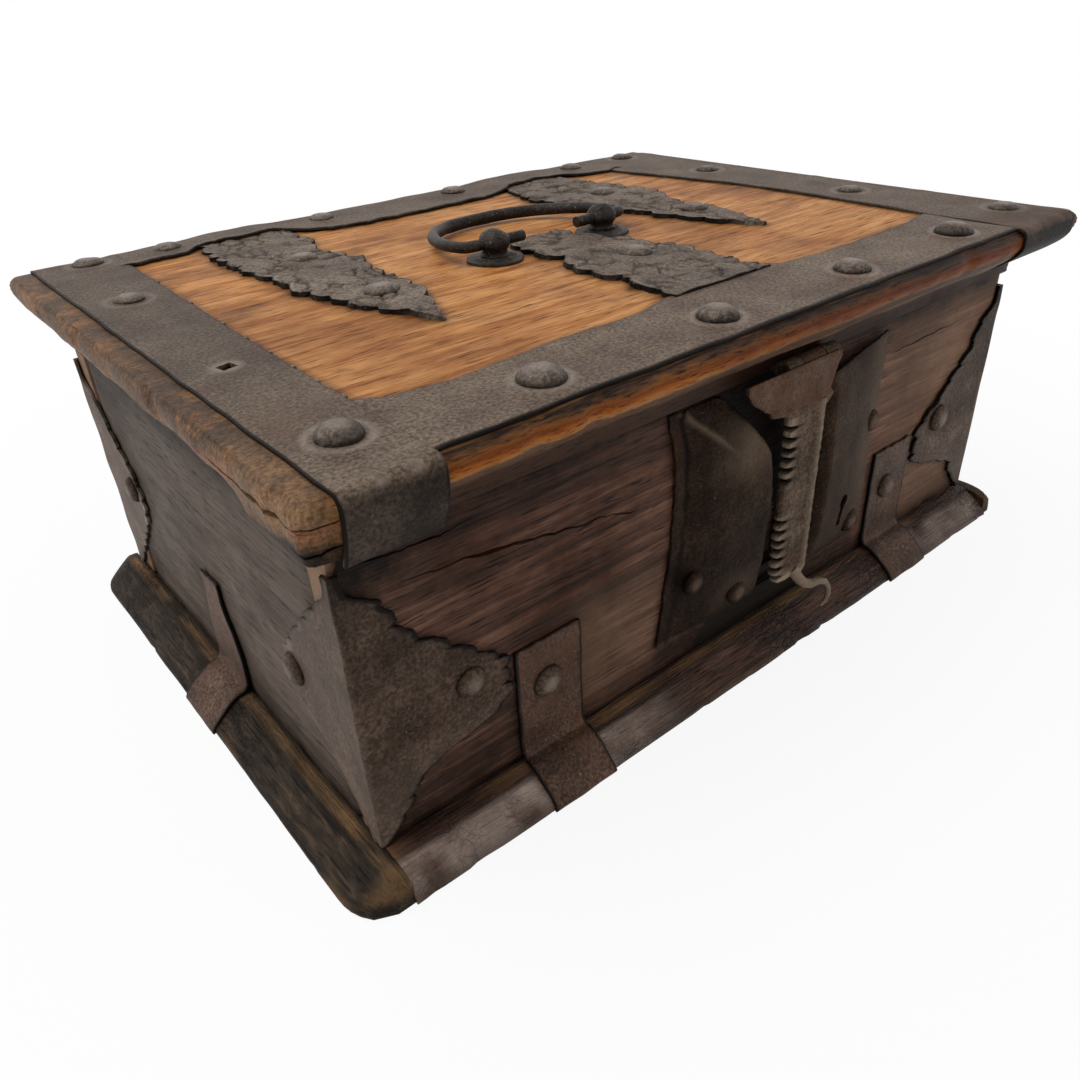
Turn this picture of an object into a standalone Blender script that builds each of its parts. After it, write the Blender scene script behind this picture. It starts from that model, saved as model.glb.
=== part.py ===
"""Iron-bound oak casket with a moulded lid, a bail handle and a hasp lock.

X runs along the front from left to right, the front faces -Y and Z is up.
The origin is the middle of the underside. Lengths are in metres.
"""
import math

import bmesh
import bpy
from mathutils import Matrix, Vector

# Fits and stock
GAP = 0.0003
RUN_CLEARANCE = 0.0004
SHEET = 0.0015
STRAP = 0.0020
CUT_PAST = 0.002

# Oak body
BODY_WIDTH = 0.415
BODY_DEPTH = 0.272
BODY_TOP = 0.1475
WALL = 0.016
BOTTOM_THICKNESS = 0.012

# Plinth moulding, as it stands out from the walls
PLINTH_OUT = 0.0225
PLINTH_HEIGHT = 0.014
PLINTH_LIP = 0.003

# Oak lid with a moulded edge; each moulding step is (share of overhang, height above underside)
LID_REST = 0.0005
LID_THICKNESS = 0.032
LID_OVER_ENDS = 0.0155
LID_OVER_FRONT = 0.027
MOULDING = (
    (0.12, 0.0),
    (0.15, 0.20),
    (0.28, 0.28),
    (0.60, 0.44),
    (0.85, 0.60),
    (0.98, 0.75),
    (1.00, 0.87),
    (0.93, 0.96),
    (0.82, 1.0),
)

# Iron straps of the lid
STRAP_INSET = 0.0082
LEFT_STRAP_WIDTH = 0.038
RIGHT_STRAP_WIDTH = 0.050
FRONT_STRAP_WIDTH = 0.045
BACK_STRAP_WIDTH = 0.036
CENTRE_STRAP_X = 0.003
CENTRE_STRAP_HALF = 0.030
CENTRE_SHOULDER_SHARE = 0.77
CENTRE_STRAP_TIP_Y = 0.010
CENTRE_STRAP_TIP_HALF = 0.016

# Lid hinges
HINGE_LEFT_SHARE = -0.525
HINGE_RIGHT_SHARE = 0.465
HINGE_TIP_Y = -0.057
HINGE_HALF = 0.025
HINGE_ROOT_HALF = 0.0175
HINGE_SWELL = 0.012
HINGE_TIP_HALF = 0.002
HINGE_BACK = 0.008
HINGE_RISE = 0.0017
BARREL_RADIUS = 0.0042
PIN_RADIUS = 0.0020
KNUCKLE = 0.016
OUTER_KNUCKLE = 0.009
LEAF_LENGTH = 0.062
NECK_DROP = 0.0095

# Corner irons and base straps
CORNER_SHARE = 0.3084
CORNER_TOP = 0.141
CORNER_FOOT = 0.0015
BASE_STRAP_APART = 0.0045
BASE_STRAP_WIDTH = 0.034
BASE_STRAP_TOP = 0.072

# Lock plate
LOCK_SHARE = 0.1157
PLATE_SHARE = 0.3325
PLATE_FLARE = 0.006
PLATE_LOW = 0.030
PLATE_HIGH = 0.141
PLATE_DOME = 0.010
SLOT_HALF = 0.0165
SLOT_SILL = 0.003
SLOT_FLARE = 0.032
SLOT_SHOULDER = 0.036
KEY_OFFSET = 0.042
KEY_Z = 0.062
KEYHOLE_RADIUS = 0.0035
KEYHOLE_SLOT = 0.0036
KEYHOLE_LENGTH = 0.014

# Lock works, let into the front board behind the plate
RECESS_DEPTH = 0.0065
CASE_THICKNESS = 0.0013
CASE_MARGIN = 0.012
CASE_BELOW = 0.011
CASE_ABOVE = 0.014
BOLT_THICKNESS = 0.0030
BOLT_HEIGHT = 0.009
BOLT_TAIL = 0.014
BOLT_THROW = 0.014
BOLT_CLEAR = 0.007
TALON = 0.008
TALON_DEPTH = 0.003
KEEPER_WIDTH = 0.006
KEEPER_STOCK = 0.0014
SPRING_STOCK = 0.0008
SPRING_LENGTH = 0.013
KEY_POST_RADIUS = 0.0016
KEY_POST_LENGTH = 0.0068

# Hasp, its hinge and its staple
HASP_OFFSET = -0.002
HASP_STANDOFF = 0.0085
HASP_AXIS_OUT = 0.009
HASP_THICKNESS = 0.004
HASP_FOOT = 0.038
HASP_BAR_HALF = 0.012
HEAD_LEFT = 0.043
HEAD_RIGHT = 0.020
HEAD_HEIGHT = 0.020
HASP_STRAP_HALF = 0.018
HASP_STRAP_LENGTH = 0.080
CURL_RADIUS = 0.006
CURL_WIDTH = 0.009
CURL_STOCK = 0.0022
STAPLE_Z = 0.052
STAPLE_WIDTH = 0.004
STAPLE_HEIGHT = 0.016
STAPLE_WALL = 0.0014
STAPLE_SHORT = 0.0005
EYE_HEIGHT = 0.011
POCKET_DEPTH = 0.0095
POCKET_CLEARANCE = 0.0018

# Bail handle
HANDLE_X = -0.004
HANDLE_Y = -0.004
POST_SPACING = 0.070
EYE_HEIGHT_ABOVE_LID = 0.0085
EYE_RADIUS = 0.0065
POST_RADIUS = 0.0040
POST_DEPTH = 0.024
ROSE_RADIUS = 0.014
ROSE_THICKNESS = 0.0020
BAIL_RADIUS = 0.0032
BAIL_HALF = 0.052
BAIL_REACH = 0.062
BAIL_END = 0.014
BAIL_BEND = 0.008
BAIL_SAG = math.radians(4.0)

# Nails
NAIL_HEAD = 0.0085
NAIL_DOME = 0.0042
NAIL_SHANK = 0.0017
NAIL_LENGTH = 0.013
NAIL_CLEARANCE = 0.0003
NAIL_PITCH_SHARE = 1.03

# Worked-out places
HALF_W = BODY_WIDTH / 2
HALF_D = BODY_DEPTH / 2
CORNER_LEAF = HALF_W * CORNER_SHARE
LOCK_X = HALF_W * LOCK_SHARE
PLATE_HALF_WIDTH = HALF_W * PLATE_SHARE
KEY_X = LOCK_X + KEY_OFFSET
HASP_X = LOCK_X + HASP_OFFSET
LID_LOW = BODY_TOP + LID_REST
LID_HIGH = LID_LOW + LID_THICKNESS
IRON_LOW = LID_HIGH + GAP
IRON_HIGH = IRON_LOW + SHEET
LID_EDGE_Y = HALF_D + LID_OVER_FRONT * MOULDING[-1][0]
FILLET_Y = HALF_D + LID_OVER_FRONT * MOULDING[1][0]
STRAP_FRONT_Y = -LID_EDGE_Y
STRAP_OUTER = HALF_W + LID_OVER_ENDS * MOULDING[-1][0] - STRAP_INSET
STRAP_BACK_Y = LID_EDGE_Y
LEFT_INNER_X = -STRAP_OUTER + LEFT_STRAP_WIDTH
RIGHT_INNER_X = STRAP_OUTER - RIGHT_STRAP_WIDTH
HINGES = (("left", HALF_W * HINGE_LEFT_SHARE), ("right", HALF_W * HINGE_RIGHT_SHARE))
BASE_STRAP_X = HALF_W - CORNER_LEAF - BASE_STRAP_APART - BASE_STRAP_WIDTH / 2
HINGE_AXIS_Y = HALF_D + HINGE_BACK
HINGE_AXIS_Z = LID_LOW + HINGE_RISE
HASP_AXIS_Y = -HALF_D - HASP_AXIS_OUT
HASP_AXIS_Z = LID_LOW + GAP + STRAP / 2
HASP_BACK_Y = -HALF_D - HASP_STANDOFF
HANDLE_AXIS_Z = LID_HIGH + EYE_HEIGHT_ABOVE_LID
RECESS_Y = -HALF_D + RECESS_DEPTH
CASE_FRONT_Y = RECESS_Y - GAP - CASE_THICKNESS
BOLT_BACK_Y = CASE_FRONT_Y - GAP
BOLT_FRONT_Y = BOLT_BACK_Y - BOLT_THICKNESS
BOLT_TIP_X = HASP_X + STAPLE_WIDTH / 2 + BOLT_CLEAR
BOLT_END_X = KEY_X + BOLT_TAIL
CASE_LEFT = BOLT_TIP_X
CASE_RIGHT = BOLT_END_X + CASE_MARGIN
CASE_LOW = STAPLE_Z - CASE_BELOW
CASE_HIGH = KEY_Z + CASE_ABOVE

# How each prism axis lies: the outline's two directions, then the way it is drawn out
AXES = {
    "X": Matrix(((0, 0, 1, 0), (1, 0, 0, 0), (0, 1, 0, 0), (0, 0, 0, 1))),
    "Y": Matrix(((1, 0, 0, 0), (0, 0, -1, 0), (0, 1, 0, 0), (0, 0, 0, 1))),
    "Z": Matrix.Identity(4),
}

# Finishes: colour, roughness, metallic
FINISHES = {
    "lid_oak": ((0.36, 0.17, 0.06), 0.55, 0.0),
    "dark_oak": ((0.075, 0.042, 0.026), 0.60, 0.0),
    "plinth_oak": ((0.055, 0.032, 0.021), 0.65, 0.0),
    "iron": ((0.085, 0.072, 0.062), 0.62, 0.85),
    "rusty_iron": ((0.120, 0.066, 0.038), 0.75, 0.70),
    "worn_iron": ((0.140, 0.125, 0.115), 0.45, 0.95),
}


def clear_scene():
    for thing in list(bpy.data.objects):
        bpy.data.objects.remove(thing, do_unlink=True)


def new_collection(name):
    collection = bpy.data.collections.new(name)
    bpy.context.scene.collection.children.link(collection)
    return collection


clear_scene()
CASKET = new_collection("oak_casket")
CUTTERS = new_collection("cutters")


def finish(thing, kind):
    """Give a piece its own material of one kind of finish."""
    colour, roughness, metallic = FINISHES[kind]
    material = bpy.data.materials.new(thing.name + "_" + kind)
    material.use_nodes = True
    shader = material.node_tree.nodes["Principled BSDF"]
    shader.inputs["Base Color"].default_value = (*colour, 1.0)
    shader.inputs["Roughness"].default_value = roughness
    shader.inputs["Metallic"].default_value = metallic
    thing.data.materials.clear()
    thing.data.materials.append(material)


def keep(thing, kind):
    """Put a finished solid among the casket's pieces."""
    CASKET.objects.link(thing)
    finish(thing, kind)
    return thing


def as_tool(thing):
    """Put a solid among the cutters, out of the model."""
    CUTTERS.objects.link(thing)
    thing.hide_render = True
    thing.display_type = "WIRE"
    return thing


def boolean(target, operation, tool):
    modifier = target.modifiers.new(tool.name, "BOOLEAN")
    modifier.operation = operation
    modifier.solver = "EXACT"
    modifier.object = tool


def block(name, low, high):
    """A box between two corners."""
    low = Vector(low)
    high = Vector(high)
    mesh = bpy.data.meshes.new(name)
    bm = bmesh.new()
    bmesh.ops.create_cube(bm, size=1.0)
    bmesh.ops.scale(bm, vec=high - low, verts=bm.verts)
    bm.to_mesh(mesh)
    bm.free()
    thing = bpy.data.objects.new(name, mesh)
    thing.location = (low + high) / 2
    return thing


def rod(name, centre, direction, radius, length, segments=16):
    """A round bar of one radius, centred on a point."""
    mesh = bpy.data.meshes.new(name)
    bm = bmesh.new()
    bmesh.ops.create_cone(
        bm, cap_ends=True, segments=segments, radius1=radius, radius2=radius, depth=length
    )
    bm.to_mesh(mesh)
    bm.free()
    mesh.shade_smooth()
    mesh.set_sharp_from_angle(angle=math.radians(40))
    thing = bpy.data.objects.new(name, mesh)
    turn = Vector((0, 0, 1)).rotation_difference(Vector(direction)).to_matrix().to_4x4()
    thing.matrix_world = Matrix.Translation(centre) @ turn
    return thing


def mesh_from_curve(source, name):
    """Make a curve's solid a mesh, with its caps welded on, and drop the curve."""
    bpy.context.scene.collection.objects.link(source)
    bpy.context.view_layer.update()
    depsgraph = bpy.context.evaluated_depsgraph_get()
    mesh = bpy.data.meshes.new_from_object(source.evaluated_get(depsgraph))
    mesh.name = name
    bm = bmesh.new()
    bm.from_mesh(mesh)
    bmesh.ops.remove_doubles(bm, verts=bm.verts, dist=0.000001)
    bmesh.ops.recalc_face_normals(bm, faces=bm.faces)
    bm.to_mesh(mesh)
    bm.free()
    thing = bpy.data.objects.new(name, mesh)
    thing.matrix_world = source.matrix_world.copy()
    bpy.data.objects.remove(source, do_unlink=True)
    return thing


def prism(name, outline, low, high, axis):
    """A flat outline drawn out along one axis, from low to high on it."""
    curve = bpy.data.curves.new(name + "_outline", "CURVE")
    curve.dimensions = "2D"
    curve.fill_mode = "BOTH"
    curve.extrude = (high - low) / 2
    spline = curve.splines.new("POLY")
    spline.points.add(len(outline) - 1)
    for point, (across, up) in zip(spline.points, outline):
        point.co = (across, up, 0, 1)
    spline.use_cyclic_u = True
    source = bpy.data.objects.new(name + "_outline", curve)
    middle = (low + high) / 2
    along = -middle if axis == "Y" else middle
    source.matrix_world = AXES[axis] @ Matrix.Translation((0, 0, along))
    return mesh_from_curve(source, name)


def offset_path(path, distance):
    """Move a bent path sideways, to the right of its run, by one distance."""
    points = [Vector(point) for point in path]
    moved = []
    for index, point in enumerate(points):
        normals = []
        if index > 0:
            run = (point - points[index - 1]).normalized()
            normals.append(Vector((run.y, -run.x)))
        if index < len(points) - 1:
            run = (points[index + 1] - point).normalized()
            normals.append(Vector((run.y, -run.x)))
        mean = sum(normals, Vector((0, 0))).normalized()
        moved.append(point + mean * (distance / mean.dot(normals[0])))
    return moved


def strip_outline(path, thickness):
    """The outline of a bent strip whose one face follows the path."""
    inner = [Vector(point) for point in path]
    return inner + offset_path(path, thickness)[::-1]


def turned(name, profile, steps=12):
    """A turned solid about Z; the profile runs down its outer side as (radius, height)."""
    mesh = bpy.data.meshes.new(name)
    bm = bmesh.new()
    verts = [bm.verts.new((radius, 0, height)) for radius, height in profile]
    for first, second in zip(verts, verts[1:]):
        bm.edges.new((first, second))
    bm.to_mesh(mesh)
    bm.free()
    thing = bpy.data.objects.new(name, mesh)
    screw = thing.modifiers.new("turn", "SCREW")
    screw.steps = steps
    screw.render_steps = steps
    screw.use_merge_vertices = True
    screw.merge_threshold = 0.00001
    screw.use_smooth_shade = True
    return thing


def moulded_slab(name, levels):
    """A board whose edge steps in and out: each level is (half width, half depth, height)."""
    mesh = bpy.data.meshes.new(name)
    bm = bmesh.new()
    bmesh.ops.create_cube(bm, size=2.0)
    uprights = [edge for edge in bm.edges if abs(edge.verts[0].co.z - edge.verts[1].co.z) > 1.0]
    bmesh.ops.subdivide_edges(bm, edges=uprights, cuts=len(levels) - 2)
    rings = len(levels) - 1
    for vert in bm.verts:
        half_x, half_y, height = levels[round((vert.co.z + 1.0) / 2.0 * rings)]
        vert.co = (math.copysign(half_x, vert.co.x), math.copysign(half_y, vert.co.y), height)
    bm.to_mesh(mesh)
    bm.free()
    return bpy.data.objects.new(name, mesh)


def pivot(name, place):
    """An empty on a joint's axis, which carries the moving pieces."""
    empty = bpy.data.objects.new(name, None)
    empty.location = place
    empty.empty_display_size = 0.02
    CASKET.objects.link(empty)
    return empty


def carry(parent, things):
    """Parent pieces to an empty without moving them."""
    bpy.context.view_layer.update()
    for thing in things:
        thing.parent = parent
        thing.matrix_parent_inverse = parent.matrix_world.inverted()


# Oak boards: front and back run the full width, the sides stand between them
def oak_body():
    wall_foot = BOTTOM_THICKNESS + GAP
    boards = {
        "front_board": ((-HALF_W, -HALF_D, wall_foot), (HALF_W, -HALF_D + WALL, BODY_TOP)),
        "back_board": ((-HALF_W, HALF_D - WALL, wall_foot), (HALF_W, HALF_D, BODY_TOP)),
    }
    side_y = HALF_D - WALL - GAP
    for name, sign in (("left_board", -1), ("right_board", 1)):
        edges = sorted((sign * HALF_W, sign * (HALF_W - WALL)))
        boards[name] = ((edges[0], -side_y, wall_foot), (edges[1], side_y, BODY_TOP))
    boards["bottom_board"] = ((-HALF_W, -HALF_D, 0), (HALF_W, HALF_D, BOTTOM_THICKNESS))
    return {name: keep(block(name, *corners), "dark_oak") for name, corners in boards.items()}


# Plinth strips: the side strips run through, the front and back ones butt against them
def plinth_path(face):
    """The plinth's weathered face as (outward place, height), from the wall down to the floor."""
    shares = ((0.0, 1.0), (0.30, 0.96), (0.58, 0.75), (0.84, 0.44))
    points = [(face + PLINTH_OUT * out, PLINTH_HEIGHT * up) for out, up in shares]
    return points + [(face + PLINTH_OUT, PLINTH_LIP), (face + PLINTH_OUT, 0.0)]


def plinth():
    long_half = HALF_D + PLINTH_OUT
    for name, sign in (("plinth_left", -1), ("plinth_right", 1)):
        outline = [(sign * out, up) for out, up in plinth_path(HALF_W + GAP)]
        outline.append((sign * (HALF_W + GAP), 0.0))
        keep(prism(name, outline, -long_half, long_half, "Y"), "plinth_oak")
    for name, sign in (("plinth_front", -1), ("plinth_back", 1)):
        outline = [(sign * out, up) for out, up in plinth_path(HALF_D + GAP)]
        outline.append((sign * (HALF_D + GAP), 0.0))
        keep(prism(name, outline, -HALF_W, HALF_W, "X"), "plinth_oak")


# Corner irons: sheet folded round each corner, each leaf cut to half a lozenge
def corner_irons():
    face_x = HALF_W + GAP
    face_y = HALF_D + GAP
    foot = PLINTH_HEIGHT + CORNER_FOOT
    middle = (foot + CORNER_TOP) / 2
    past = SHEET + CUT_PAST
    irons = {}
    for name, sx, sy in (
        ("corner_iron_front_left", -1, -1),
        ("corner_iron_front_right", 1, -1),
        ("corner_iron_back_left", -1, 1),
        ("corner_iron_back_right", 1, 1),
    ):
        fold = [(-face_x, -HALF_D + CORNER_LEAF), (-face_x, -face_y), (-HALF_W + CORNER_LEAF, -face_y)]
        angle = [(-sx * x, -sy * y) for x, y in strip_outline(fold, SHEET)]
        iron = keep(prism(name, angle, foot, CORNER_TOP, "Z"), "iron")
        for axis, half, sign in (("Y", HALF_W, sx), ("X", HALF_D, sy)):
            outer = sign * (half + past)
            corner = sign * half
            apex = sign * (half - CORNER_LEAF)
            tip = (CORNER_TOP - foot) * 0.06
            outline = [
                (outer, CORNER_TOP + past),
                (corner, CORNER_TOP),
                (apex, middle + tip),
                (apex, middle - tip),
                (corner, foot),
                (outer, foot - past),
            ]
            reach = max(HALF_W, HALF_D) + 0.02
            boolean(iron, "INTERSECT", as_tool(prism(name + "_leaf_" + axis, outline, -reach, reach, axis)))
        irons[name] = iron
    return irons


# Base straps: strips nailed to a wall and bent out over the plinth
def base_straps():
    straps = {}
    half = BASE_STRAP_WIDTH / 2
    for name, axis, face, sign, place in (
        ("base_strap_front_left", "X", HALF_D, -1, -BASE_STRAP_X),
        ("base_strap_front_right", "X", HALF_D, -1, BASE_STRAP_X),
        ("base_strap_back_left", "X", HALF_D, 1, -BASE_STRAP_X),
        ("base_strap_back_right", "X", HALF_D, 1, BASE_STRAP_X),
        ("base_strap_left", "Y", HALF_W, -1, 0.0),
        ("base_strap_right", "Y", HALF_W, 1, 0.0),
    ):
        over = [(-out, up) for out, up in plinth_path(face + GAP)]
        seat = offset_path(over, GAP)
        seat[0].x = -face - GAP
        seat[-1].y = GAP
        path = [Vector((-face - GAP, BASE_STRAP_TOP))] + seat
        outline = [(-sign * out, up) for out, up in strip_outline(path, SHEET)]
        straps[name] = keep(prism(name, outline, place - half, place + half, axis), "rusty_iron")
    return straps


# Lid: one thick board with the same moulding worked on all four edges
def lid_levels():
    return [
        (HALF_W + LID_OVER_ENDS * out, HALF_D + LID_OVER_FRONT * out, LID_LOW + LID_THICKNESS * up)
        for out, up in MOULDING
    ]


def moulding_path(lowest):
    """The moulding's section as (outward, height), from its top edge down to one step."""
    return [(level[1], level[2]) for level in lid_levels()[::-1]][: len(MOULDING) - lowest]


def oak_lid():
    return keep(moulded_slab("lid_board", lid_levels()), "lid_oak")


# Lid straps: the end straps run front to back and turn down over the front moulding as caps
def lid_straps():
    straps = {}
    front = [(-out, up) for out, up in moulding_path(3)]
    cap = offset_path([(STRAP_BACK_Y, LID_HIGH)] + front, GAP)
    for name, low, high in (
        ("lid_strap_left", -STRAP_OUTER, LEFT_INNER_X),
        ("lid_strap_right", RIGHT_INNER_X, STRAP_OUTER),
    ):
        straps[name] = keep(prism(name, strip_outline(cap, SHEET), low, high, "X"), "iron")
    inner = STRAP_FRONT_Y + FRONT_STRAP_WIDTH
    straps["lid_strap_front"] = keep(
        block(
            "lid_strap_front",
            (LEFT_INNER_X + GAP, STRAP_FRONT_Y, IRON_LOW),
            (RIGHT_INNER_X - GAP, inner, IRON_HIGH),
        ),
        "iron",
    )
    straps["lid_strap_back"] = keep(
        block(
            "lid_strap_back",
            (LEFT_INNER_X + GAP, STRAP_BACK_Y - BACK_STRAP_WIDTH, IRON_LOW),
            (RIGHT_INNER_X - GAP, STRAP_BACK_Y, IRON_HIGH),
        ),
        "iron",
    )
    shoulder = inner + GAP + (CENTRE_STRAP_TIP_Y - inner) * 0.70
    root = CENTRE_STRAP_HALF
    tip = CENTRE_STRAP_TIP_HALF
    shoulder_x = (CENTRE_STRAP_X + HANDLE_X) / 2
    outline = [
        (CENTRE_STRAP_X - root, inner + GAP),
        (CENTRE_STRAP_X + root, inner + GAP),
        (shoulder_x + root * CENTRE_SHOULDER_SHARE, shoulder),
        (HANDLE_X + tip, CENTRE_STRAP_TIP_Y),
        (HANDLE_X - tip, CENTRE_STRAP_TIP_Y),
        (shoulder_x - root * CENTRE_SHOULDER_SHARE, shoulder),
    ]
    straps["lid_strap_centre"] = keep(
        prism("lid_strap_centre", outline, IRON_LOW, IRON_LOW + STRAP, "Z"), "iron"
    )
    return straps


# Lid hinges: spear straps on the lid that wrap its back edge down to a barrel behind the body
def barrel(name, x, y, z, length):
    return as_tool(rod(name, (x, y, z), (1, 0, 0), BARREL_RADIUS, length))


def pin_hole(name, x, y, z):
    return as_tool(rod(name, (x, y, z), (1, 0, 0), PIN_RADIUS + RUN_CLEARANCE, 4 * HINGE_ROOT_HALF))


def hinge_strap(name, x):
    """The lid half of a hinge, stepped up over the back strap."""
    back = moulding_path(3)[::-1]
    wrap = offset_path(back, GAP)
    wrap[-1].y = IRON_HIGH + GAP
    step_y = STRAP_BACK_Y - BACK_STRAP_WIDTH - GAP
    step = IRON_HIGH - LID_HIGH
    path = [Vector((HINGE_AXIS_Y, HINGE_AXIS_Z))] + wrap
    path += [
        Vector((step_y - STRAP, IRON_HIGH + GAP)),
        Vector((step_y - STRAP - step, IRON_LOW)),
        Vector((HINGE_TIP_Y, IRON_LOW)),
    ]
    strap = keep(prism(name, strip_outline(path, STRAP), x - HINGE_HALF, x + HINGE_HALF, "X"), "iron")
    root = HINGE_ROOT_HALF
    past = HALF_D + LID_OVER_FRONT + 2 * STRAP
    outline = [
        (x - root, HALF_D - WALL),
        (x - root, past),
        (x + root, past),
        (x + root, HALF_D - WALL),
        (x + HINGE_HALF, HALF_D - WALL - HINGE_SWELL),
        (x + HINGE_HALF * 0.72, 0.0),
        (x + HINGE_TIP_HALF, HINGE_TIP_Y),
        (x - HINGE_TIP_HALF, HINGE_TIP_Y),
        (x - HINGE_HALF * 0.72, 0.0),
        (x - HINGE_HALF, HALF_D - WALL - HINGE_SWELL),
    ]
    low = HINGE_AXIS_Z - BARREL_RADIUS - STRAP
    high = IRON_HIGH + 2 * STRAP
    boolean(strap, "INTERSECT", as_tool(prism(name + "_spear", outline, low, high, "Z")))
    boolean(strap, "UNION", barrel(name + "_barrel", x, HINGE_AXIS_Y, HINGE_AXIS_Z, root * 2))
    room = KNUCKLE / 2 + RUN_CLEARANCE
    reach = BARREL_RADIUS + RUN_CLEARANCE * 2
    gap_block = block(
        name + "_gap",
        (x - room, HINGE_AXIS_Y - reach, HINGE_AXIS_Z - reach),
        (x + room, HINGE_AXIS_Y + reach, HINGE_AXIS_Z + reach),
    )
    boolean(strap, "DIFFERENCE", as_tool(gap_block))
    boolean(strap, "DIFFERENCE", pin_hole(name + "_bore", x, HINGE_AXIS_Y, HINGE_AXIS_Z))
    return strap


def hinge_leaf(name, x):
    """The body half of a hinge: a plate on the back board, necked up to the middle knuckle."""
    face = HALF_D + GAP
    neck_z = HINGE_AXIS_Z - NECK_DROP
    root = HINGE_ROOT_HALF
    leaf = keep(block(name, (x - root, face, neck_z - LEAF_LENGTH), (x + root, face + STRAP, neck_z)), "iron")
    path = [(HINGE_AXIS_Y, HINGE_AXIS_Z), (face + STRAP, neck_z - STRAP), (face + STRAP, neck_z - LEAF_LENGTH / 2)]
    neck = prism(name + "_neck", strip_outline(path, STRAP), x - KNUCKLE / 2, x + KNUCKLE / 2, "X")
    boolean(leaf, "UNION", as_tool(neck))
    boolean(leaf, "UNION", barrel(name + "_barrel", x, HINGE_AXIS_Y, HINGE_AXIS_Z, KNUCKLE))
    boolean(leaf, "DIFFERENCE", pin_hole(name + "_bore", x, HINGE_AXIS_Y, HINGE_AXIS_Z))
    return leaf


def lid_hinges():
    straps = {}
    for side, x in HINGES:
        straps["hinge_strap_" + side] = hinge_strap("hinge_strap_" + side, x)
        hinge_leaf("hinge_leaf_" + side, x)
        place = (x, HINGE_AXIS_Y, HINGE_AXIS_Z)
        length = HINGE_ROOT_HALF * 2
        keep(rod("hinge_pin_" + side, place, (1, 0, 0), PIN_RADIUS, length, 12), "worn_iron")
    return straps


# Lock plate: a domed sheet with hollow sides, cut for the hasp and for the key
def dome(x, z):
    """How far the plate's face stands off the board at one place."""
    middle = (PLATE_LOW + PLATE_HIGH) / 2
    up = (z - middle) / (PLATE_HIGH - PLATE_LOW) * 2
    across = (x - LOCK_X) / (PLATE_HALF_WIDTH + PLATE_FLARE * up * up)
    return PLATE_DOME * (1 - across * across) * (1 - up * up)


def lock_plate():
    mesh = bpy.data.meshes.new("lock_plate")
    bm = bmesh.new()
    bmesh.ops.create_grid(bm, x_segments=14, y_segments=10, size=1.0)
    middle = (PLATE_LOW + PLATE_HIGH) / 2
    for vert in bm.verts:
        across, up = vert.co.x, vert.co.y
        x = LOCK_X + across * (PLATE_HALF_WIDTH + PLATE_FLARE * up * up)
        z = middle + up * (PLATE_HIGH - PLATE_LOW) / 2
        vert.co = (x, -HALF_D - GAP - dome(x, z), z)
    bm.to_mesh(mesh)
    bm.free()
    mesh.shade_smooth()
    plate = keep(bpy.data.objects.new("lock_plate", mesh), "iron")
    shell = plate.modifiers.new("sheet", "SOLIDIFY")
    shell.thickness = SHEET
    shell.offset = 1.0
    plate.modifiers.new("flat_faces", "TRIANGULATE")
    sill = PLATE_LOW + SLOT_SILL
    shoulder = PLATE_HIGH - SLOT_SHOULDER
    over = PLATE_HIGH + 0.01
    slot = [
        (LOCK_X - SLOT_HALF, sill),
        (LOCK_X + SLOT_HALF, sill),
        (LOCK_X + SLOT_HALF, over),
        (LOCK_X - SLOT_HALF - SLOT_FLARE, over),
        (LOCK_X - SLOT_HALF - SLOT_FLARE, PLATE_HIGH),
        (LOCK_X - SLOT_HALF - SLOT_FLARE * 0.30, shoulder + SLOT_SHOULDER * 0.55),
        (LOCK_X - SLOT_HALF, shoulder),
    ]
    front = -HALF_D - 0.03
    boolean(plate, "DIFFERENCE", as_tool(prism("hasp_slot", slot, front, -HALF_D + 0.001, "Y")))
    keyhole = rod("keyhole_round", (KEY_X, -HALF_D, KEY_Z), (0, 1, 0), KEYHOLE_RADIUS, 0.05, 12)
    boolean(plate, "DIFFERENCE", as_tool(keyhole))
    half = KEYHOLE_SLOT / 2
    slit = block(
        "keyhole_slit",
        (KEY_X - half, front, KEY_Z - KEYHOLE_LENGTH),
        (KEY_X + half, -HALF_D + 0.001, KEY_Z),
    )
    boolean(plate, "DIFFERENCE", as_tool(slit))
    return plate


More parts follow.
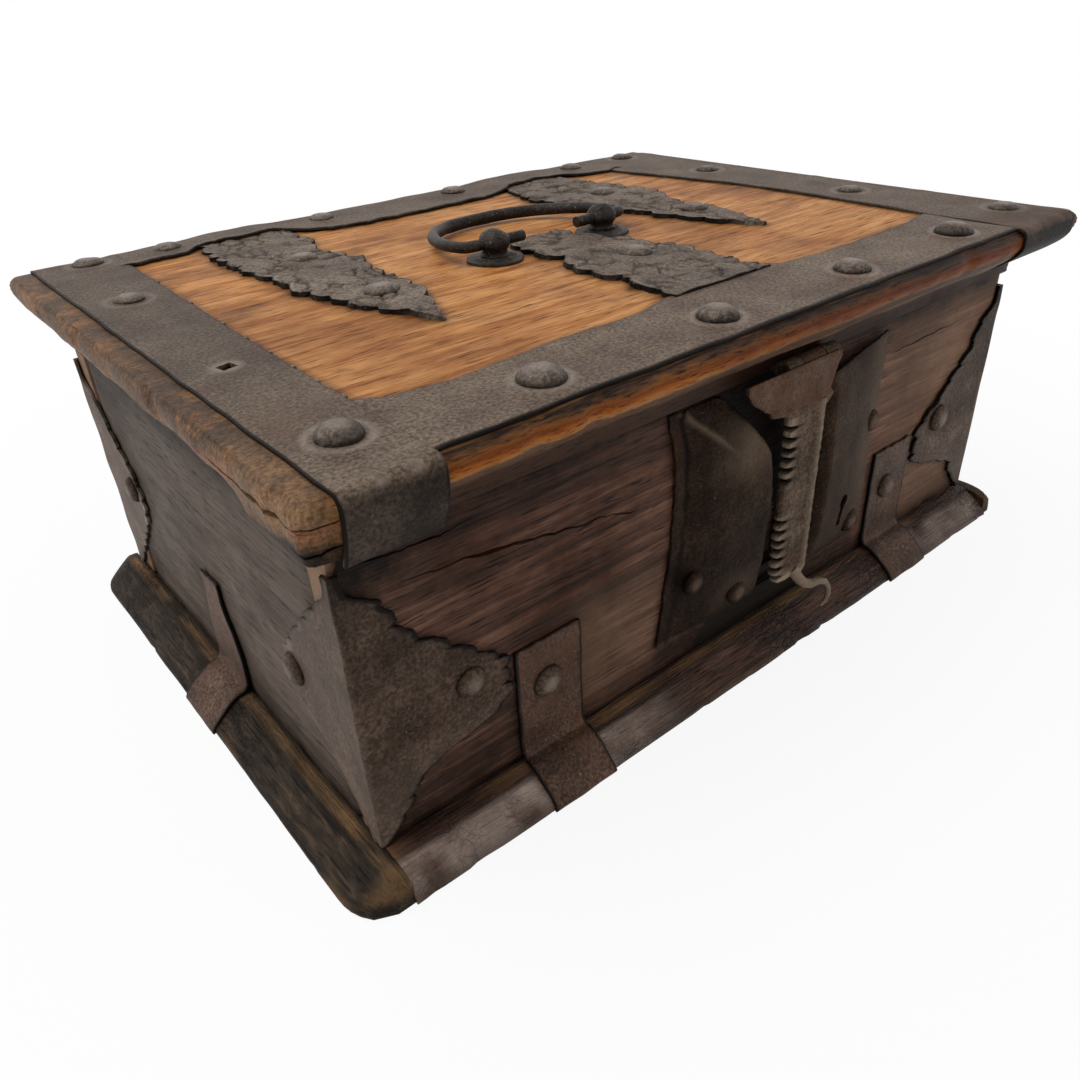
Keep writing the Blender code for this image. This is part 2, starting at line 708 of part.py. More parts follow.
# Lock works: a base plate in a recess of the front board, a sliding bolt, its keeper and spring
def lock_works(front_board):
    recess = block(
        "lock_recess",
        (BOLT_TIP_X - BOLT_THROW - CUT_PAST, -HALF_D - CUT_PAST, CASE_LOW - GAP),
        (CASE_RIGHT + GAP, RECESS_Y, CASE_HIGH + GAP),
    )
    boolean(front_board, "DIFFERENCE", as_tool(recess))
    tall = STAPLE_HEIGHT / 2 + POCKET_CLEARANCE
    wide = STAPLE_WIDTH / 2 + POCKET_CLEARANCE
    pocket = block(
        "staple_pocket",
        (HASP_X - wide, -HALF_D - CUT_PAST, STAPLE_Z - tall),
        (HASP_X + wide, -HALF_D + POCKET_DEPTH, STAPLE_Z + tall),
    )
    boolean(front_board, "DIFFERENCE", as_tool(pocket))
    keep(
        block("lock_case", (CASE_LEFT, CASE_FRONT_Y, CASE_LOW), (CASE_RIGHT, RECESS_Y - GAP, CASE_HIGH)),
        "iron",
    )
    low = STAPLE_Z - BOLT_HEIGHT / 2
    high = STAPLE_Z + BOLT_HEIGHT / 2
    talon = [
        (KEY_X + TALON / 2, high),
        (KEY_X + TALON / 2, high - TALON_DEPTH),
        (KEY_X - TALON / 2, high - TALON_DEPTH),
        (KEY_X - TALON / 2, high),
    ]
    outline = [(BOLT_TIP_X, low), (BOLT_END_X, low), (BOLT_END_X, high)]
    outline += talon + [(BOLT_TIP_X, high)]
    keep(prism("lock_bolt", outline, BOLT_FRONT_Y, BOLT_BACK_Y, "Y"), "worn_iron")
    keeper_x = BOLT_TIP_X + BOLT_THROW
    inner_low = low - RUN_CLEARANCE
    inner_high = high + RUN_CLEARANCE
    bridge = BOLT_FRONT_Y - RUN_CLEARANCE
    path = [(BOLT_BACK_Y, inner_low), (bridge, inner_low), (bridge, inner_high), (BOLT_BACK_Y, inner_high)]
    outline = strip_outline(path[::-1], KEEPER_STOCK)
    keep(prism("bolt_keeper", outline, keeper_x, keeper_x + KEEPER_WIDTH, "X"), "iron")
    spring_x = keeper_x + KEEPER_WIDTH + 2 * RUN_CLEARANCE
    path = [
        (spring_x, high + 0.004),
        (spring_x + SPRING_LENGTH * 0.4, high + GAP),
        (spring_x + SPRING_LENGTH, high + GAP),
    ]
    outline = strip_outline(path, -SPRING_STOCK)
    keep(prism("bolt_spring", outline, BOLT_FRONT_Y, BOLT_BACK_Y, "Y"), "worn_iron")
    post_y = BOLT_BACK_Y - KEY_POST_LENGTH / 2
    post = rod("key_post", (KEY_X, post_y, KEY_Z), (0, 1, 0), KEY_POST_RADIUS, KEY_POST_LENGTH, 12)
    keep(post, "worn_iron")


# Hasp: hung from a strap let into the lid's underside, with a staple that enters the lock
def hasp_strap(lid_board):
    half = HASP_STRAP_HALF
    end_y = HASP_AXIS_Y + HASP_STRAP_LENGTH
    low = LID_LOW + GAP
    recess = block(
        "hasp_strap_recess",
        (HASP_X - half - GAP, HASP_AXIS_Y - BARREL_RADIUS, LID_LOW - CUT_PAST),
        (HASP_X + half + GAP, end_y + GAP, low + STRAP + GAP),
    )
    boolean(lid_board, "DIFFERENCE", as_tool(recess))
    strap = keep(block("hasp_strap", (HASP_X - half, HASP_AXIS_Y, low), (HASP_X + half, end_y, low + STRAP)), "iron")
    boolean(strap, "UNION", barrel("hasp_strap_barrel", HASP_X, HASP_AXIS_Y, HASP_AXIS_Z, half * 2))
    room = KNUCKLE / 2 + RUN_CLEARANCE
    reach = BARREL_RADIUS + RUN_CLEARANCE * 2
    gap_block = block(
        "hasp_strap_gap",
        (HASP_X - room, HASP_AXIS_Y - reach, HASP_AXIS_Z - reach),
        (HASP_X + room, HASP_AXIS_Y + reach, HASP_AXIS_Z + reach),
    )
    boolean(strap, "DIFFERENCE", as_tool(gap_block))
    boolean(strap, "DIFFERENCE", pin_hole("hasp_strap_bore", HASP_X, HASP_AXIS_Y, HASP_AXIS_Z))
    place = (HASP_X, HASP_AXIS_Y, HASP_AXIS_Z)
    pin = keep(rod("hasp_pin", place, (1, 0, 0), PIN_RADIUS, half * 2, 12), "worn_iron")
    return [strap, pin]


def hasp():
    """A broad head and a long bar, hung from the middle knuckle, with a curled tail."""
    front = HASP_BACK_Y - HASP_THICKNESS
    top = HASP_AXIS_Z - BARREL_RADIUS - 2 * RUN_CLEARANCE
    low = top - HEAD_HEIGHT
    bar = HASP_BAR_HALF
    outline = [
        (HASP_X - HEAD_LEFT, top),
        (HASP_X + HEAD_RIGHT, top),
        (HASP_X + HEAD_RIGHT, top - HEAD_HEIGHT * 0.55),
        (HASP_X + bar, low),
        (HASP_X + bar, HASP_FOOT),
        (HASP_X - bar, HASP_FOOT),
        (HASP_X - bar, low - HEAD_HEIGHT * 0.10),
        (HASP_X - bar * 1.6, low + HEAD_HEIGHT * 0.20),
        (HASP_X - HEAD_LEFT, top - HEAD_HEIGHT * 0.35),
    ]
    piece = keep(prism("hasp", outline, front, HASP_BACK_Y, "Y"), "rusty_iron")
    neck = block(
        "hasp_neck",
        (HASP_X - KNUCKLE / 2, front, top - HEAD_HEIGHT * 0.3),
        (HASP_X + KNUCKLE / 2, HASP_BACK_Y, HASP_AXIS_Z),
    )
    boolean(piece, "UNION", as_tool(neck))
    boolean(piece, "UNION", barrel("hasp_barrel", HASP_X, HASP_AXIS_Y, HASP_AXIS_Z, KNUCKLE))
    boolean(piece, "DIFFERENCE", pin_hole("hasp_bore", HASP_X, HASP_AXIS_Y, HASP_AXIS_Z))
    centre = Vector((front + CURL_STOCK - CURL_RADIUS, HASP_FOOT))
    turns = [math.radians(angle) for angle in (40, 10, -20, -55, -90, -125, -160, -190)]
    path = [centre + CURL_RADIUS * Vector((math.cos(turn), math.sin(turn))) for turn in turns]
    width = CURL_WIDTH / 2
    tail_x = HASP_X + bar - width
    curl = prism("hasp_curl", strip_outline(path, CURL_STOCK), tail_x - width, tail_x + width, "X")
    boolean(piece, "UNION", as_tool(curl))
    tip = -HALF_D - STAPLE_SHORT
    root = HASP_BACK_Y + GAP
    half = STAPLE_HEIGHT / 2
    staple = keep(
        block(
            "hasp_staple",
            (HASP_X - STAPLE_WIDTH / 2, root, STAPLE_Z - half),
            (HASP_X + STAPLE_WIDTH / 2, tip, STAPLE_Z + half),
        ),
        "worn_iron",
    )
    eye = block(
        "staple_eye",
        (HASP_X - STAPLE_WIDTH, root + STAPLE_WALL, STAPLE_Z - EYE_HEIGHT / 2),
        (HASP_X + STAPLE_WIDTH, tip - STAPLE_WALL, STAPLE_Z + EYE_HEIGHT / 2),
    )
    boolean(staple, "DIFFERENCE", as_tool(eye))
    return [piece, staple]


# Handle: two eye posts driven into the lid through round roses, and a bail that swings in them
def handle_posts(lid_board):
    pieces = []
    for side, sign in (("left", -1), ("right", 1)):
        x = HANDLE_X + sign * POST_SPACING / 2
        neck = EYE_RADIUS * 0.55
        arc = [math.radians(angle) for angle in (90, 60, 30, 0, -30)]
        profile = [(EYE_RADIUS * math.cos(turn), EYE_RADIUS * math.sin(turn)) for turn in arc]
        profile[0] = (0.0, EYE_RADIUS)
        shank = LID_HIGH - HANDLE_AXIS_Z - POST_DEPTH
        profile += [(POST_RADIUS, -neck - 0.002), (POST_RADIUS, shank + 0.004), (0.0, shank)]
        post = keep(turned("handle_post_" + side, profile, 16), "iron")
        post.location = (x, HANDLE_Y, HANDLE_AXIS_Z)
        bore = rod(
            "handle_eye_" + side,
            (x, HANDLE_Y, HANDLE_AXIS_Z),
            (1, 0, 0),
            BAIL_RADIUS + RUN_CLEARANCE,
            EYE_RADIUS * 4,
            16,
        )
        boolean(post, "DIFFERENCE", as_tool(bore))
        hole = rod(
            "handle_post_hole_" + side,
            (x, HANDLE_Y, LID_HIGH - POST_DEPTH / 2),
            (0, 0, 1),
            POST_RADIUS + GAP,
            POST_DEPTH + 2 * GAP,
            16,
        )
        boolean(lid_board, "DIFFERENCE", as_tool(hole))
        bore_radius = POST_RADIUS + GAP
        rose_profile = [
            (bore_radius, ROSE_THICKNESS),
            (ROSE_RADIUS * 0.62, ROSE_THICKNESS),
            (ROSE_RADIUS * 0.72, ROSE_THICKNESS * 0.55),
            (ROSE_RADIUS, ROSE_THICKNESS * 0.45),
            (ROSE_RADIUS, 0.0),
            (bore_radius, 0.0),
            (bore_radius, ROSE_THICKNESS),
        ]
        rose = keep(turned("handle_rose_" + side, rose_profile, 20), "iron")
        rose.location = (x, HANDLE_Y, LID_HIGH + GAP)
        pieces += [post, rose]
    return pieces


def bail_path():
    """Half of the bail's centre line from one inner end to the crown, as (along X, outward)."""
    eye = POST_SPACING / 2
    bend_x = BAIL_HALF - BAIL_BEND
    points = [(eye - BAIL_END, 0.0), (eye, 0.0), (bend_x, 0.0)]
    for angle in (-60, -30, 0):
        turn = math.radians(angle)
        points.append((bend_x + BAIL_BEND * math.cos(turn), BAIL_BEND + BAIL_BEND * math.sin(turn)))
    rise = BAIL_REACH - BAIL_BEND
    for angle in range(12, 91, 13):
        turn = math.radians(angle)
        across = BAIL_HALF * max(math.cos(turn), 0.0) ** 0.8
        points.append((across, BAIL_BEND + rise * math.sin(turn)))
    return points


def bail():
    half = bail_path()
    path = [(-across, out) for across, out in half] + [(across, out) for across, out in half[-2::-1]]
    curve = bpy.data.curves.new("bail_centre_line", "CURVE")
    curve.dimensions = "3D"
    curve.bevel_depth = BAIL_RADIUS
    curve.bevel_resolution = 2
    curve.use_fill_caps = True
    spline = curve.splines.new("POLY")
    spline.points.add(len(path) - 1)
    for point, (across, out) in zip(spline.points, path):
        point.co = (across, out, 0, 1)
    source = bpy.data.objects.new("bail_centre_line", curve)
    tilt = Matrix.Rotation(-BAIL_SAG, 4, "X")
    source.matrix_world = Matrix.Translation((HANDLE_X, HANDLE_Y, HANDLE_AXIS_Z)) @ tilt
    handle = keep(mesh_from_curve(source, "bail_handle"), "iron")
    handle.data.shade_smooth()
    return handle


# Nails: domed heads on the ironwork, with shanks driven through it into the oak
def nail(name, place, outward, pierced):
    shank = NAIL_SHANK
    dome_points = [
        (0.0, NAIL_DOME),
        (NAIL_HEAD * 0.45, NAIL_DOME * 0.88),
        (NAIL_HEAD * 0.80, NAIL_DOME * 0.52),
        (NAIL_HEAD, NAIL_DOME * 0.12),
        (NAIL_HEAD, 0.0),
    ]
    profile = dome_points + [(shank, 0.0), (shank, -NAIL_LENGTH + 2 * shank), (0.0, -NAIL_LENGTH)]
    piece = keep(turned(name, profile, 10), "iron")
    outward = Vector(outward)
    turn = Vector((0, 0, 1)).rotation_difference(outward).to_matrix().to_4x4()
    piece.matrix_world = Matrix.Translation(Vector(place) + outward * GAP) @ turn
    depth = NAIL_LENGTH + GAP
    middle = Vector(place) - outward * (depth / 2 - CUT_PAST)
    radius = shank + NAIL_CLEARANCE
    hole = as_tool(rod(name + "_hole", middle, outward, radius, depth + 2 * CUT_PAST, 8))
    for board in pierced:
        boolean(board, "DIFFERENCE", hole)
    return piece


def lid_nails(lid_board, straps):
    top = (0, 0, 1)
    nails = []
    nail_y = STRAP_FRONT_Y + FRONT_STRAP_WIDTH * 0.40
    left_x = -STRAP_OUTER + LEFT_STRAP_WIDTH / 2
    right_x = STRAP_OUTER - RIGHT_STRAP_WIDTH * 0.42
    bay = (RIGHT_INNER_X - LEFT_INNER_X) / 4
    first_x = LEFT_INNER_X + bay * 0.62
    for index in range(4):
        place = (first_x + bay * NAIL_PITCH_SHARE * index, nail_y, IRON_HIGH)
        name = "nail_front_" + str(index + 2)
        nails.append(nail(name, place, top, [straps["lid_strap_front"], lid_board]))
    corner = (left_x, nail_y + 0.009, IRON_HIGH)
    nails.append(nail("nail_front_1", corner, top, [straps["lid_strap_left"], lid_board]))
    side_y = HALF_D * 0.48
    nails.append(nail("nail_left", (left_x, side_y, IRON_HIGH), top, [straps["lid_strap_left"], lid_board]))
    nails.append(nail("nail_right", (right_x, side_y, IRON_HIGH), top, [straps["lid_strap_right"], lid_board]))
    strap_top = IRON_LOW + STRAP
    for side, x in HINGES:
        strap = straps["hinge_strap_" + side]
        nails.append(nail("nail_hinge_" + side, (x, -0.012, strap_top), top, [strap, lid_board]))
    centre = (CENTRE_STRAP_X, STRAP_FRONT_Y + FRONT_STRAP_WIDTH + 0.060, strap_top)
    nails.append(nail("nail_centre", centre, top, [straps["lid_strap_centre"], lid_board]))
    return nails


def body_nails(front_board, irons, straps):
    ahead = (0, -1, 0)
    face = -HALF_D - GAP - SHEET
    for side, sign in (("left", -1), ("right", 1)):
        corner = (sign * (HALF_W - CORNER_LEAF * 0.70), face, BASE_STRAP_TOP)
        nail("nail_corner_" + side, corner, ahead, [irons["corner_iron_front_" + side], front_board])
        foot = (sign * BASE_STRAP_X, face, BASE_STRAP_TOP - BASE_STRAP_WIDTH * 0.65)
        nail("nail_base_" + side, foot, ahead, [straps["base_strap_front_" + side], front_board])


boards = oak_body()
plinth()
irons = corner_irons()
base = base_straps()
lid_board = oak_lid()
lid_iron = lid_straps()
lid_iron.update(lid_hinges())
lock_plate()
lock_works(boards["front_board"])
lid_side = hasp_strap(lid_board)
hasp_pieces = hasp()
posts = handle_posts(lid_board)
handle = bail()
nails_on_lid = lid_nails(lid_board, lid_iron)
body_nails(boards["front_board"], irons, base)

lid_pivot = pivot("lid_hinge_axis", (0, HINGE_AXIS_Y, HINGE_AXIS_Z))
hasp_pivot = pivot("hasp_axis", (HASP_X, HASP_AXIS_Y, HASP_AXIS_Z))
handle_pivot = pivot("handle_axis", (HANDLE_X, HANDLE_Y, HANDLE_AXIS_Z))
carry(lid_pivot, [lid_board, *lid_iron.values(), *lid_side, *posts, *nails_on_lid])
carry(lid_pivot, [hasp_pivot, handle_pivot])
carry(hasp_pivot, hasp_pieces)
carry(handle_pivot, [handle])
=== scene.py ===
"""Looks of an iron-bound oak casket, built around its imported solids.

X runs along the front from left to right, the front faces -Y and Z is up, in metres.
"""
import math

import bpy
import numpy as np
from mathutils import Matrix, Vector, noise


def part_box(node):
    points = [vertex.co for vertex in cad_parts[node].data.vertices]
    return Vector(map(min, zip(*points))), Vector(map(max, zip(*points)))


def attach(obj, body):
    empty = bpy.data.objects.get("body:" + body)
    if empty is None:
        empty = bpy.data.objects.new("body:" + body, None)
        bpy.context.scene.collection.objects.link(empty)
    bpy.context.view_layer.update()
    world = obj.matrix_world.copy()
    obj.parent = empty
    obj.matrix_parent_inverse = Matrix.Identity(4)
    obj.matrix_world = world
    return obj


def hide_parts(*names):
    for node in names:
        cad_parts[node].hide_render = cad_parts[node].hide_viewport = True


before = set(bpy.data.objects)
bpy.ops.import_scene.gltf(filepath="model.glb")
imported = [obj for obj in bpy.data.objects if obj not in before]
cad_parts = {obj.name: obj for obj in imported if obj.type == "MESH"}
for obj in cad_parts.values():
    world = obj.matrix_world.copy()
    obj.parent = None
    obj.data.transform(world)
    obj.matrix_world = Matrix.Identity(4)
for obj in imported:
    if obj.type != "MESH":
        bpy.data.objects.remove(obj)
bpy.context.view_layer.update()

# Oak walls. Four riven and planed boards, nailed into a box: the front and back run the
# full width, so their end grain shows at the sides. The front has dried and split along
# its grain, painted shade darkens it under the lid, and every arris is rubbed round.
WALL_X = 0.2075
WALL_Y = 0.136
WALL_THICK = 0.016
WALL_FOOT = 0.0123
WALL_TOP = 0.1475


def linear(code):
    """An sRGB hex colour as linear red, green, blue and alpha."""
    parts = [int(code[i : i + 2], 16) / 255 for i in (1, 3, 5)]
    parts = [p / 12.92 if p <= 0.04045 else ((p + 0.055) / 1.055) ** 2.4 for p in parts]
    return (*parts, 1.0)


def put(tree, kind, *values, out=0, stops=(), **more):
    """Add one node and give its output.

    Values fill its sockets in order. A named value with a capital goes to that socket, and one
    without is a setting of the node. Stops are the places and colours of a ramp.
    """
    made = tree.nodes.new("ShaderNode" + kind)
    sockets = dict(enumerate(values))
    for name, value in more.items():
        if name[0].isupper():
            sockets[name.replace("_", " ")] = value
        else:
            setattr(made, name, value)
    for key, value in sockets.items():
        if isinstance(value, bpy.types.NodeSocket):
            tree.links.new(value, made.inputs[key])
        else:
            made.inputs[key].default_value = value
    if stops:
        points = made.color_ramp.elements
        while len(points) < len(stops):
            points.new(0.5)
        for point, (place, code) in zip(points, stops):
            point.position = place
            point.color = linear(code)
    return made.outputs[out]


def tinted(tree, colour, tints, broken):
    """Lay colours over a base where the mesh's own marks say, broken up by a noise."""
    for mark_name, code in tints:
        mark_here = put(tree, "Attribute", attribute_name=mark_name, out="Fac")
        uneven = put(tree, "MapRange", broken, 0.3, 0.7, 0.45, 1.35)
        share = put(tree, "Math", mark_here, uneven, operation="MULTIPLY", use_clamp=True)
        colour = put(tree, "MixRGB", share, colour, linear(code))
    return colour


def start_material(name, roughness, metallic=0.0, specular=0.5):
    """A new material with its shader's plain values set."""
    material = bpy.data.materials.new(name)
    material.use_nodes = True
    tree = material.node_tree
    shader = tree.nodes["Principled BSDF"]
    shader.inputs["Roughness"].default_value = roughness
    shader.inputs["Metallic"].default_value = metallic
    shader.inputs["Specular IOR Level"].default_value = specular
    return material, tree, shader


def old_oak(
    name, grain, tones, tints, streak="#6a5548", roughness=0.6, relief=0.5, crackle=0.0,
    figure=(8, 210), gloss=0.10, soil_tone="#8d7a6c",
):
    """Old oak: long dark grain, open pores, and patches of dirt and handling.

    Growth lines are 3 to 7 mm apart, 17 mm on the weathered sides, and run four to thirty times
    as far; figure gives them as waves in a metre along and across. Fine lines are 1.6 mm apart.
    Pores in oak are finer than a render shows, so they are drawn 1 mm wide. Dirt lies in patches
    of 75 mm. Crackle is old varnish in 4 mm scales, in the dirty places only.
    """
    material, tree, shader = start_material(name, roughness, specular=gloss)
    spot = put(tree, "TexCoord", out="Object")
    maps = []
    for along, across in (figure, (26, 620), (75, 1000)):
        scale = [along if axis == grain else across for axis in "XYZ"]
        maps.append(put(tree, "Mapping", spot, Scale=scale))
    wave = put(tree, "TexNoise", maps[0], Scale=1, Detail=5, Roughness=0.6, Distortion=0.7)
    lines = put(tree, "TexNoise", maps[1], Scale=1, Detail=4, Roughness=0.65)
    lines = put(tree, "Math", lines, 0.55, -0.275, operation="MULTIPLY_ADD")
    wood = put(tree, "Math", wave, lines, operation="ADD")
    colour = put(tree, "ValToRGB", wood, stops=tones)
    pores = put(tree, "TexNoise", maps[2], Scale=1, Detail=2)
    soil = put(tree, "TexNoise", spot, Scale=13, Detail=6, Roughness=0.62)
    pore_mask = put(tree, "MapRange", pores, 0.57, 0.70)
    soil_mask = put(tree, "MapRange", soil, 0.46, 0.70)
    for mask, code in ((pore_mask, streak), (soil_mask, soil_tone)):
        colour = put(tree, "MixRGB", mask, colour, linear(code), blend_type="MULTIPLY")
    height = put(tree, "Math", pores, -0.6, wood, operation="MULTIPLY_ADD")
    if crackle:
        bent = put(tree, "TexNoise", spot, Scale=90, Detail=3, out="Color")
        warped = put(tree, "MixRGB", 0.010, spot, bent, blend_type="ADD")
        scales = put(tree, "TexVoronoi", warped, Scale=250, feature="DISTANCE_TO_EDGE")
        line = put(tree, "MapRange", scales, 0.07, 0.0, 0.0, crackle)
        gap = put(tree, "Math", line, soil_mask, operation="MULTIPLY")
        colour = put(tree, "MixRGB", gap, colour, linear("#17100c"))
        height = put(tree, "Math", height, gap, operation="SUBTRACT")
    broken = put(tree, "TexNoise", spot, Scale=70, Detail=7, Roughness=0.7)
    tree.links.new(tinted(tree, colour, tints, broken), shader.inputs["Base Color"])
    bump = put(tree, "Bump", Strength=relief, Distance=0.0016, Height=height)
    tree.links.new(bump, shader.inputs["Normal"])
    return material


def pick(*chosen):
    """Select these objects alone, with the first one active."""
    bpy.ops.object.select_all(action="DESELECT")
    for made in reversed(chosen):
        made.select_set(True)
        bpy.context.view_layer.objects.active = made


def apply_modifier(made, kind, **settings):
    modifier = made.modifiers.new(kind.lower(), kind)
    for key, value in settings.items():
        setattr(modifier, key, value)
    pick(made)
    bpy.ops.object.modifier_apply(modifier=modifier.name)


def smooth(made, degrees):
    """Shade smooth across every edge that turns less than some degrees."""
    pick(made)
    bpy.ops.object.shade_smooth_by_angle(angle=math.radians(degrees))


def named(name):
    """Name the object that an operator has just added, and its mesh."""
    made = bpy.context.object
    made.name = name
    made.data.name = name
    return made


def face_outward(made):
    """Merge doubled points of a closed mesh and turn every face outward."""
    pick(made)
    bpy.ops.object.mode_set(mode="EDIT")
    bpy.ops.mesh.select_all(action="SELECT")
    bpy.ops.mesh.remove_doubles(threshold=0.000002)
    bpy.ops.mesh.normals_make_consistent(inside=False)
    bpy.ops.object.mode_set(mode="OBJECT")


def loft(name, rings):
    """Draw a closed section along a run. Every ring is a list of points in one order."""
    around = len(rings[0])
    pick()
    bpy.ops.mesh.primitive_cylinder_add(vertices=around, radius=1, depth=2)
    made = named(name)
    mesh = made.data
    if len(rings) > 2:
        bpy.context.tool_settings.mesh_select_mode = (False, True, False)
        for part in (*mesh.vertices, *mesh.polygons):
            part.select = False
        for edge in mesh.edges:
            first, second = (mesh.vertices[i].co.z for i in edge.vertices)
            edge.select = abs(first - second) > 1
        bpy.ops.object.mode_set(mode="EDIT")
        bpy.ops.mesh.subdivide(number_cuts=len(rings) - 2)
        bpy.ops.object.mode_set(mode="OBJECT")
    step = math.tau / around
    for vert in mesh.vertices:
        turn = round(math.atan2(vert.co.x, vert.co.y) / step) % around
        vert.co = rings[round((vert.co.z + 1) / 2 * (len(rings) - 1))][turn]
    face_outward(made)
    return made


def cut(made, tool):
    """Cut one solid out of a piece and throw the tool away. A cut that fails leaves it whole."""
    whole = made.data.copy()
    apply_modifier(made, "BOOLEAN", object=tool, operation="DIFFERENCE", solver="EXACT")
    if len(made.data.polygons) < 0.8 * len(whole.polygons):
        made.data = whole
    bpy.data.objects.remove(tool, do_unlink=True)


def cut_block(made, place, size, turn=(0, 0, 0)):
    """Cut a square-sided block out of a piece."""
    bpy.ops.mesh.primitive_cube_add(size=1, location=place, rotation=turn, scale=size)
    cut(made, bpy.context.object)


def join(name, pieces):
    """Make one piece of several meshes."""
    pick(*pieces)
    if len(pieces) > 1:
        bpy.ops.object.join()
    return named(name)


def mark(made, **rules):
    """Store on a mesh, point by point, where it is stained or rubbed and where shade and light are
    painted on; a rule takes x, y, z.
    """
    for name, rule in rules.items():
        values = made.data.attributes.new(name, "FLOAT", "POINT").data
        for vert, value in zip(made.data.vertices, values):
            value.value = rule(*vert.co)


def paint(made, material):
    """Give a piece, or a solid that stays in sight, its one finish."""
    made.data.materials.clear()
    made.data.materials.append(material)


def settle(made, body, slot, material, *nodes):
    """Give a piece its finish, the body that it moves with, and the solids it stands for."""
    paint(made, material)
    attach(made, body)
    if nodes:
        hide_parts(*nodes)
    return made


def lumps(x, y, z, size):
    """A smooth unevenness of one size at a place, from -1 to 1."""
    return noise.noise(Vector((x / size, y / size, z / size)))


# Vector noise takes its offsets from the clock unless it is seeded.
noise.seed_set(5)


def wander(point, size, amount):
    """The same as a shift in all directions."""
    return noise.noise_vector(Vector(point) / size) * amount


def ease(value, low, high):
    """0 below low, 1 above high, and even between them; low may be above high."""
    return min(1.0, max(0.0, (value - low) / (high - low)))


def hump(value, middle, width):
    """1 at the middle, falling smoothly to almost 0 two widths away on either side."""
    return math.exp(-(((value - middle) / width) ** 2))


def metres(*rows):
    """A table that is written in millimetres."""
    return [tuple(value / 1000 for value in row) for row in rows]


def round_rectangle(half_u, half_v, radius, step):
    """Points round a rectangle with rounded corners, about one step apart."""
    points = []
    flat_u, flat_v = half_u - radius, half_v - radius
    corners = ((1, -1, -90), (1, 1, 0), (-1, 1, 90), (-1, -1, 180))
    for index, (su, sv, turn) in enumerate(corners):
        upright = index % 2 == 0
        count = max(1, round(2 * (flat_v if upright else flat_u) / step))
        for quarter in (22, 45, 68):
            angle = math.radians(turn + quarter)
            arc_u, arc_v = radius * math.cos(angle), radius * math.sin(angle)
            points.append((su * flat_u + arc_u, sv * flat_v + arc_v))
        for part in range(count + 1):
            run = 1 - 2 * part / count
            on_side, on_end = (su * half_u, sv * flat_v * run), (su * flat_u * run, sv * half_v)
            points.append(on_side if upright else on_end)
    return points


def board(name, low, high, along, wear=0.0006):
    """A planed board with rubbed arrises; along is the axis that its grain follows."""
    arris, end_arris, ring_gap, point_gap = 0.0018, 0.0012, 0.005, 0.008
    low, high = Vector(low), Vector(high)
    middle = (low + high) / 2
    half = (high - low) / 2
    first, second = [axis for axis in range(3) if axis != along]
    section = round_rectangle(half[first], half[second], arris, point_gap)
    count = max(2, round(2 * half[along] / ring_gap))
    rings = []
    for index in range(count + 1):
        pinch = end_arris if index in (0, count) else 0.0
        ring = []
        for u, v in section:
            point = Vector((0, 0, 0))
            point[along] = half[along] * (2 * index / count - 1)
            point[first] = u - math.copysign(pinch, u)
            point[second] = v - math.copysign(pinch, v)
            point += middle
            ring.append(point + wander(point, 0.045, wear) + wander(point, 0.012, wear * 0.5))
        rings.append(ring)
    made = loft(name, rings)
    bpy.context.tool_settings.mesh_select_mode = (False, False, True)
    for part in (*made.data.vertices, *made.data.edges):
        part.select = False
    for face in made.data.polygons:
        face.select = len(face.vertices) > 4
    bpy.ops.object.mode_set(mode="EDIT")
    bpy.ops.mesh.poke()
    bpy.ops.object.mode_set(mode="OBJECT")
    return made


def split(path, inward, width, depth):
    """A drying crack to be cut out along a path: a wedge that dies out at both ends."""
    count, overcut = 40, 0.002
    inward = Vector(inward)
    path = [Vector(point) for point in path]
    side = (path[-1] - path[0]).cross(inward).normalized()
    rings = []
    for index in range(count + 1):
        share = index / count * (len(path) - 1)
        leg = min(int(share), len(path) - 2)
        point = path[leg].lerp(path[leg + 1], share - leg)
        point += side * (0.0012 * lumps(*point, 0.009) + 0.0006 * lumps(*point, 0.003))
        swell = max(0.15, math.sin(math.pi * min(index + 0.01, count - 0.01) / count) ** 0.5)
        swell *= 0.8 + 0.6 * lumps(*point, 0.012)
        half = side * width * swell
        lip = point - inward * overcut
        rings.append([lip + half, lip - half, point + inward * depth * swell])
    return loft("crack", rings)


# On the walls the hollow tint is mostly painted shade; the rim tint is bare wood, and painted light
# towards the right end.
wall_tints = (("rim", "#a5846a"), ("hollow", "#140d09"))
front_oak = old_oak(
    "dark_oak_front",
    "X",
    ((0.26, "#33211a"), (0.42, "#594035"), (0.52, "#6d4f42"), (0.62, "#835e4c"), (0.80, "#a27d68")),
    wall_tints,
)
side_oak = old_oak(
    "grey_weathered_oak_sides",
    "Y",
    ((0.26, "#463a33"), (0.45, "#5a4d44"), (0.58, "#675a50"), (0.78, "#786a60")),
    wall_tints,
    relief=0.2,
    figure=(5, 60),
)


def wall_shade_and_patches(x, y, z):
    """Painted shade under the lid, behind the lock plate and below it; dark at the foot, low at the
    left, on the left end and at the top left corner.
    """
    if x < 0.0006 - WALL_X:
        return 0.2
    corner = hump(x, -0.200, 0.028) * ease(z + 0.006 * lumps(x, z, 0, 0.012), 0.116, 0.130)
    corner *= ease(x, 0.0004 - WALL_X, 0.0030 - WALL_X)
    # Painted shade behind the lock plate, below it, and under the lid's overhang.
    slot = ease(abs(x - 0.008), 0.046, 0.040) if y < -WALL_Y + 0.004 else 0.0
    sill = 0.8 * ease(abs(x - 0.018), 0.082, 0.074) * ease(z, 0.046, 0.036)
    heel = 0.6 * ease(x, -0.130, -0.142) * ease(z, 0.060, 0.045)
    top, foot = 0.85 * ease(z, 0.130, 0.146), 0.8 * ease(z, 0.026, 0.016)
    return max(top, foot, 1.1 * corner, 1.2 * slot, sill, heel)


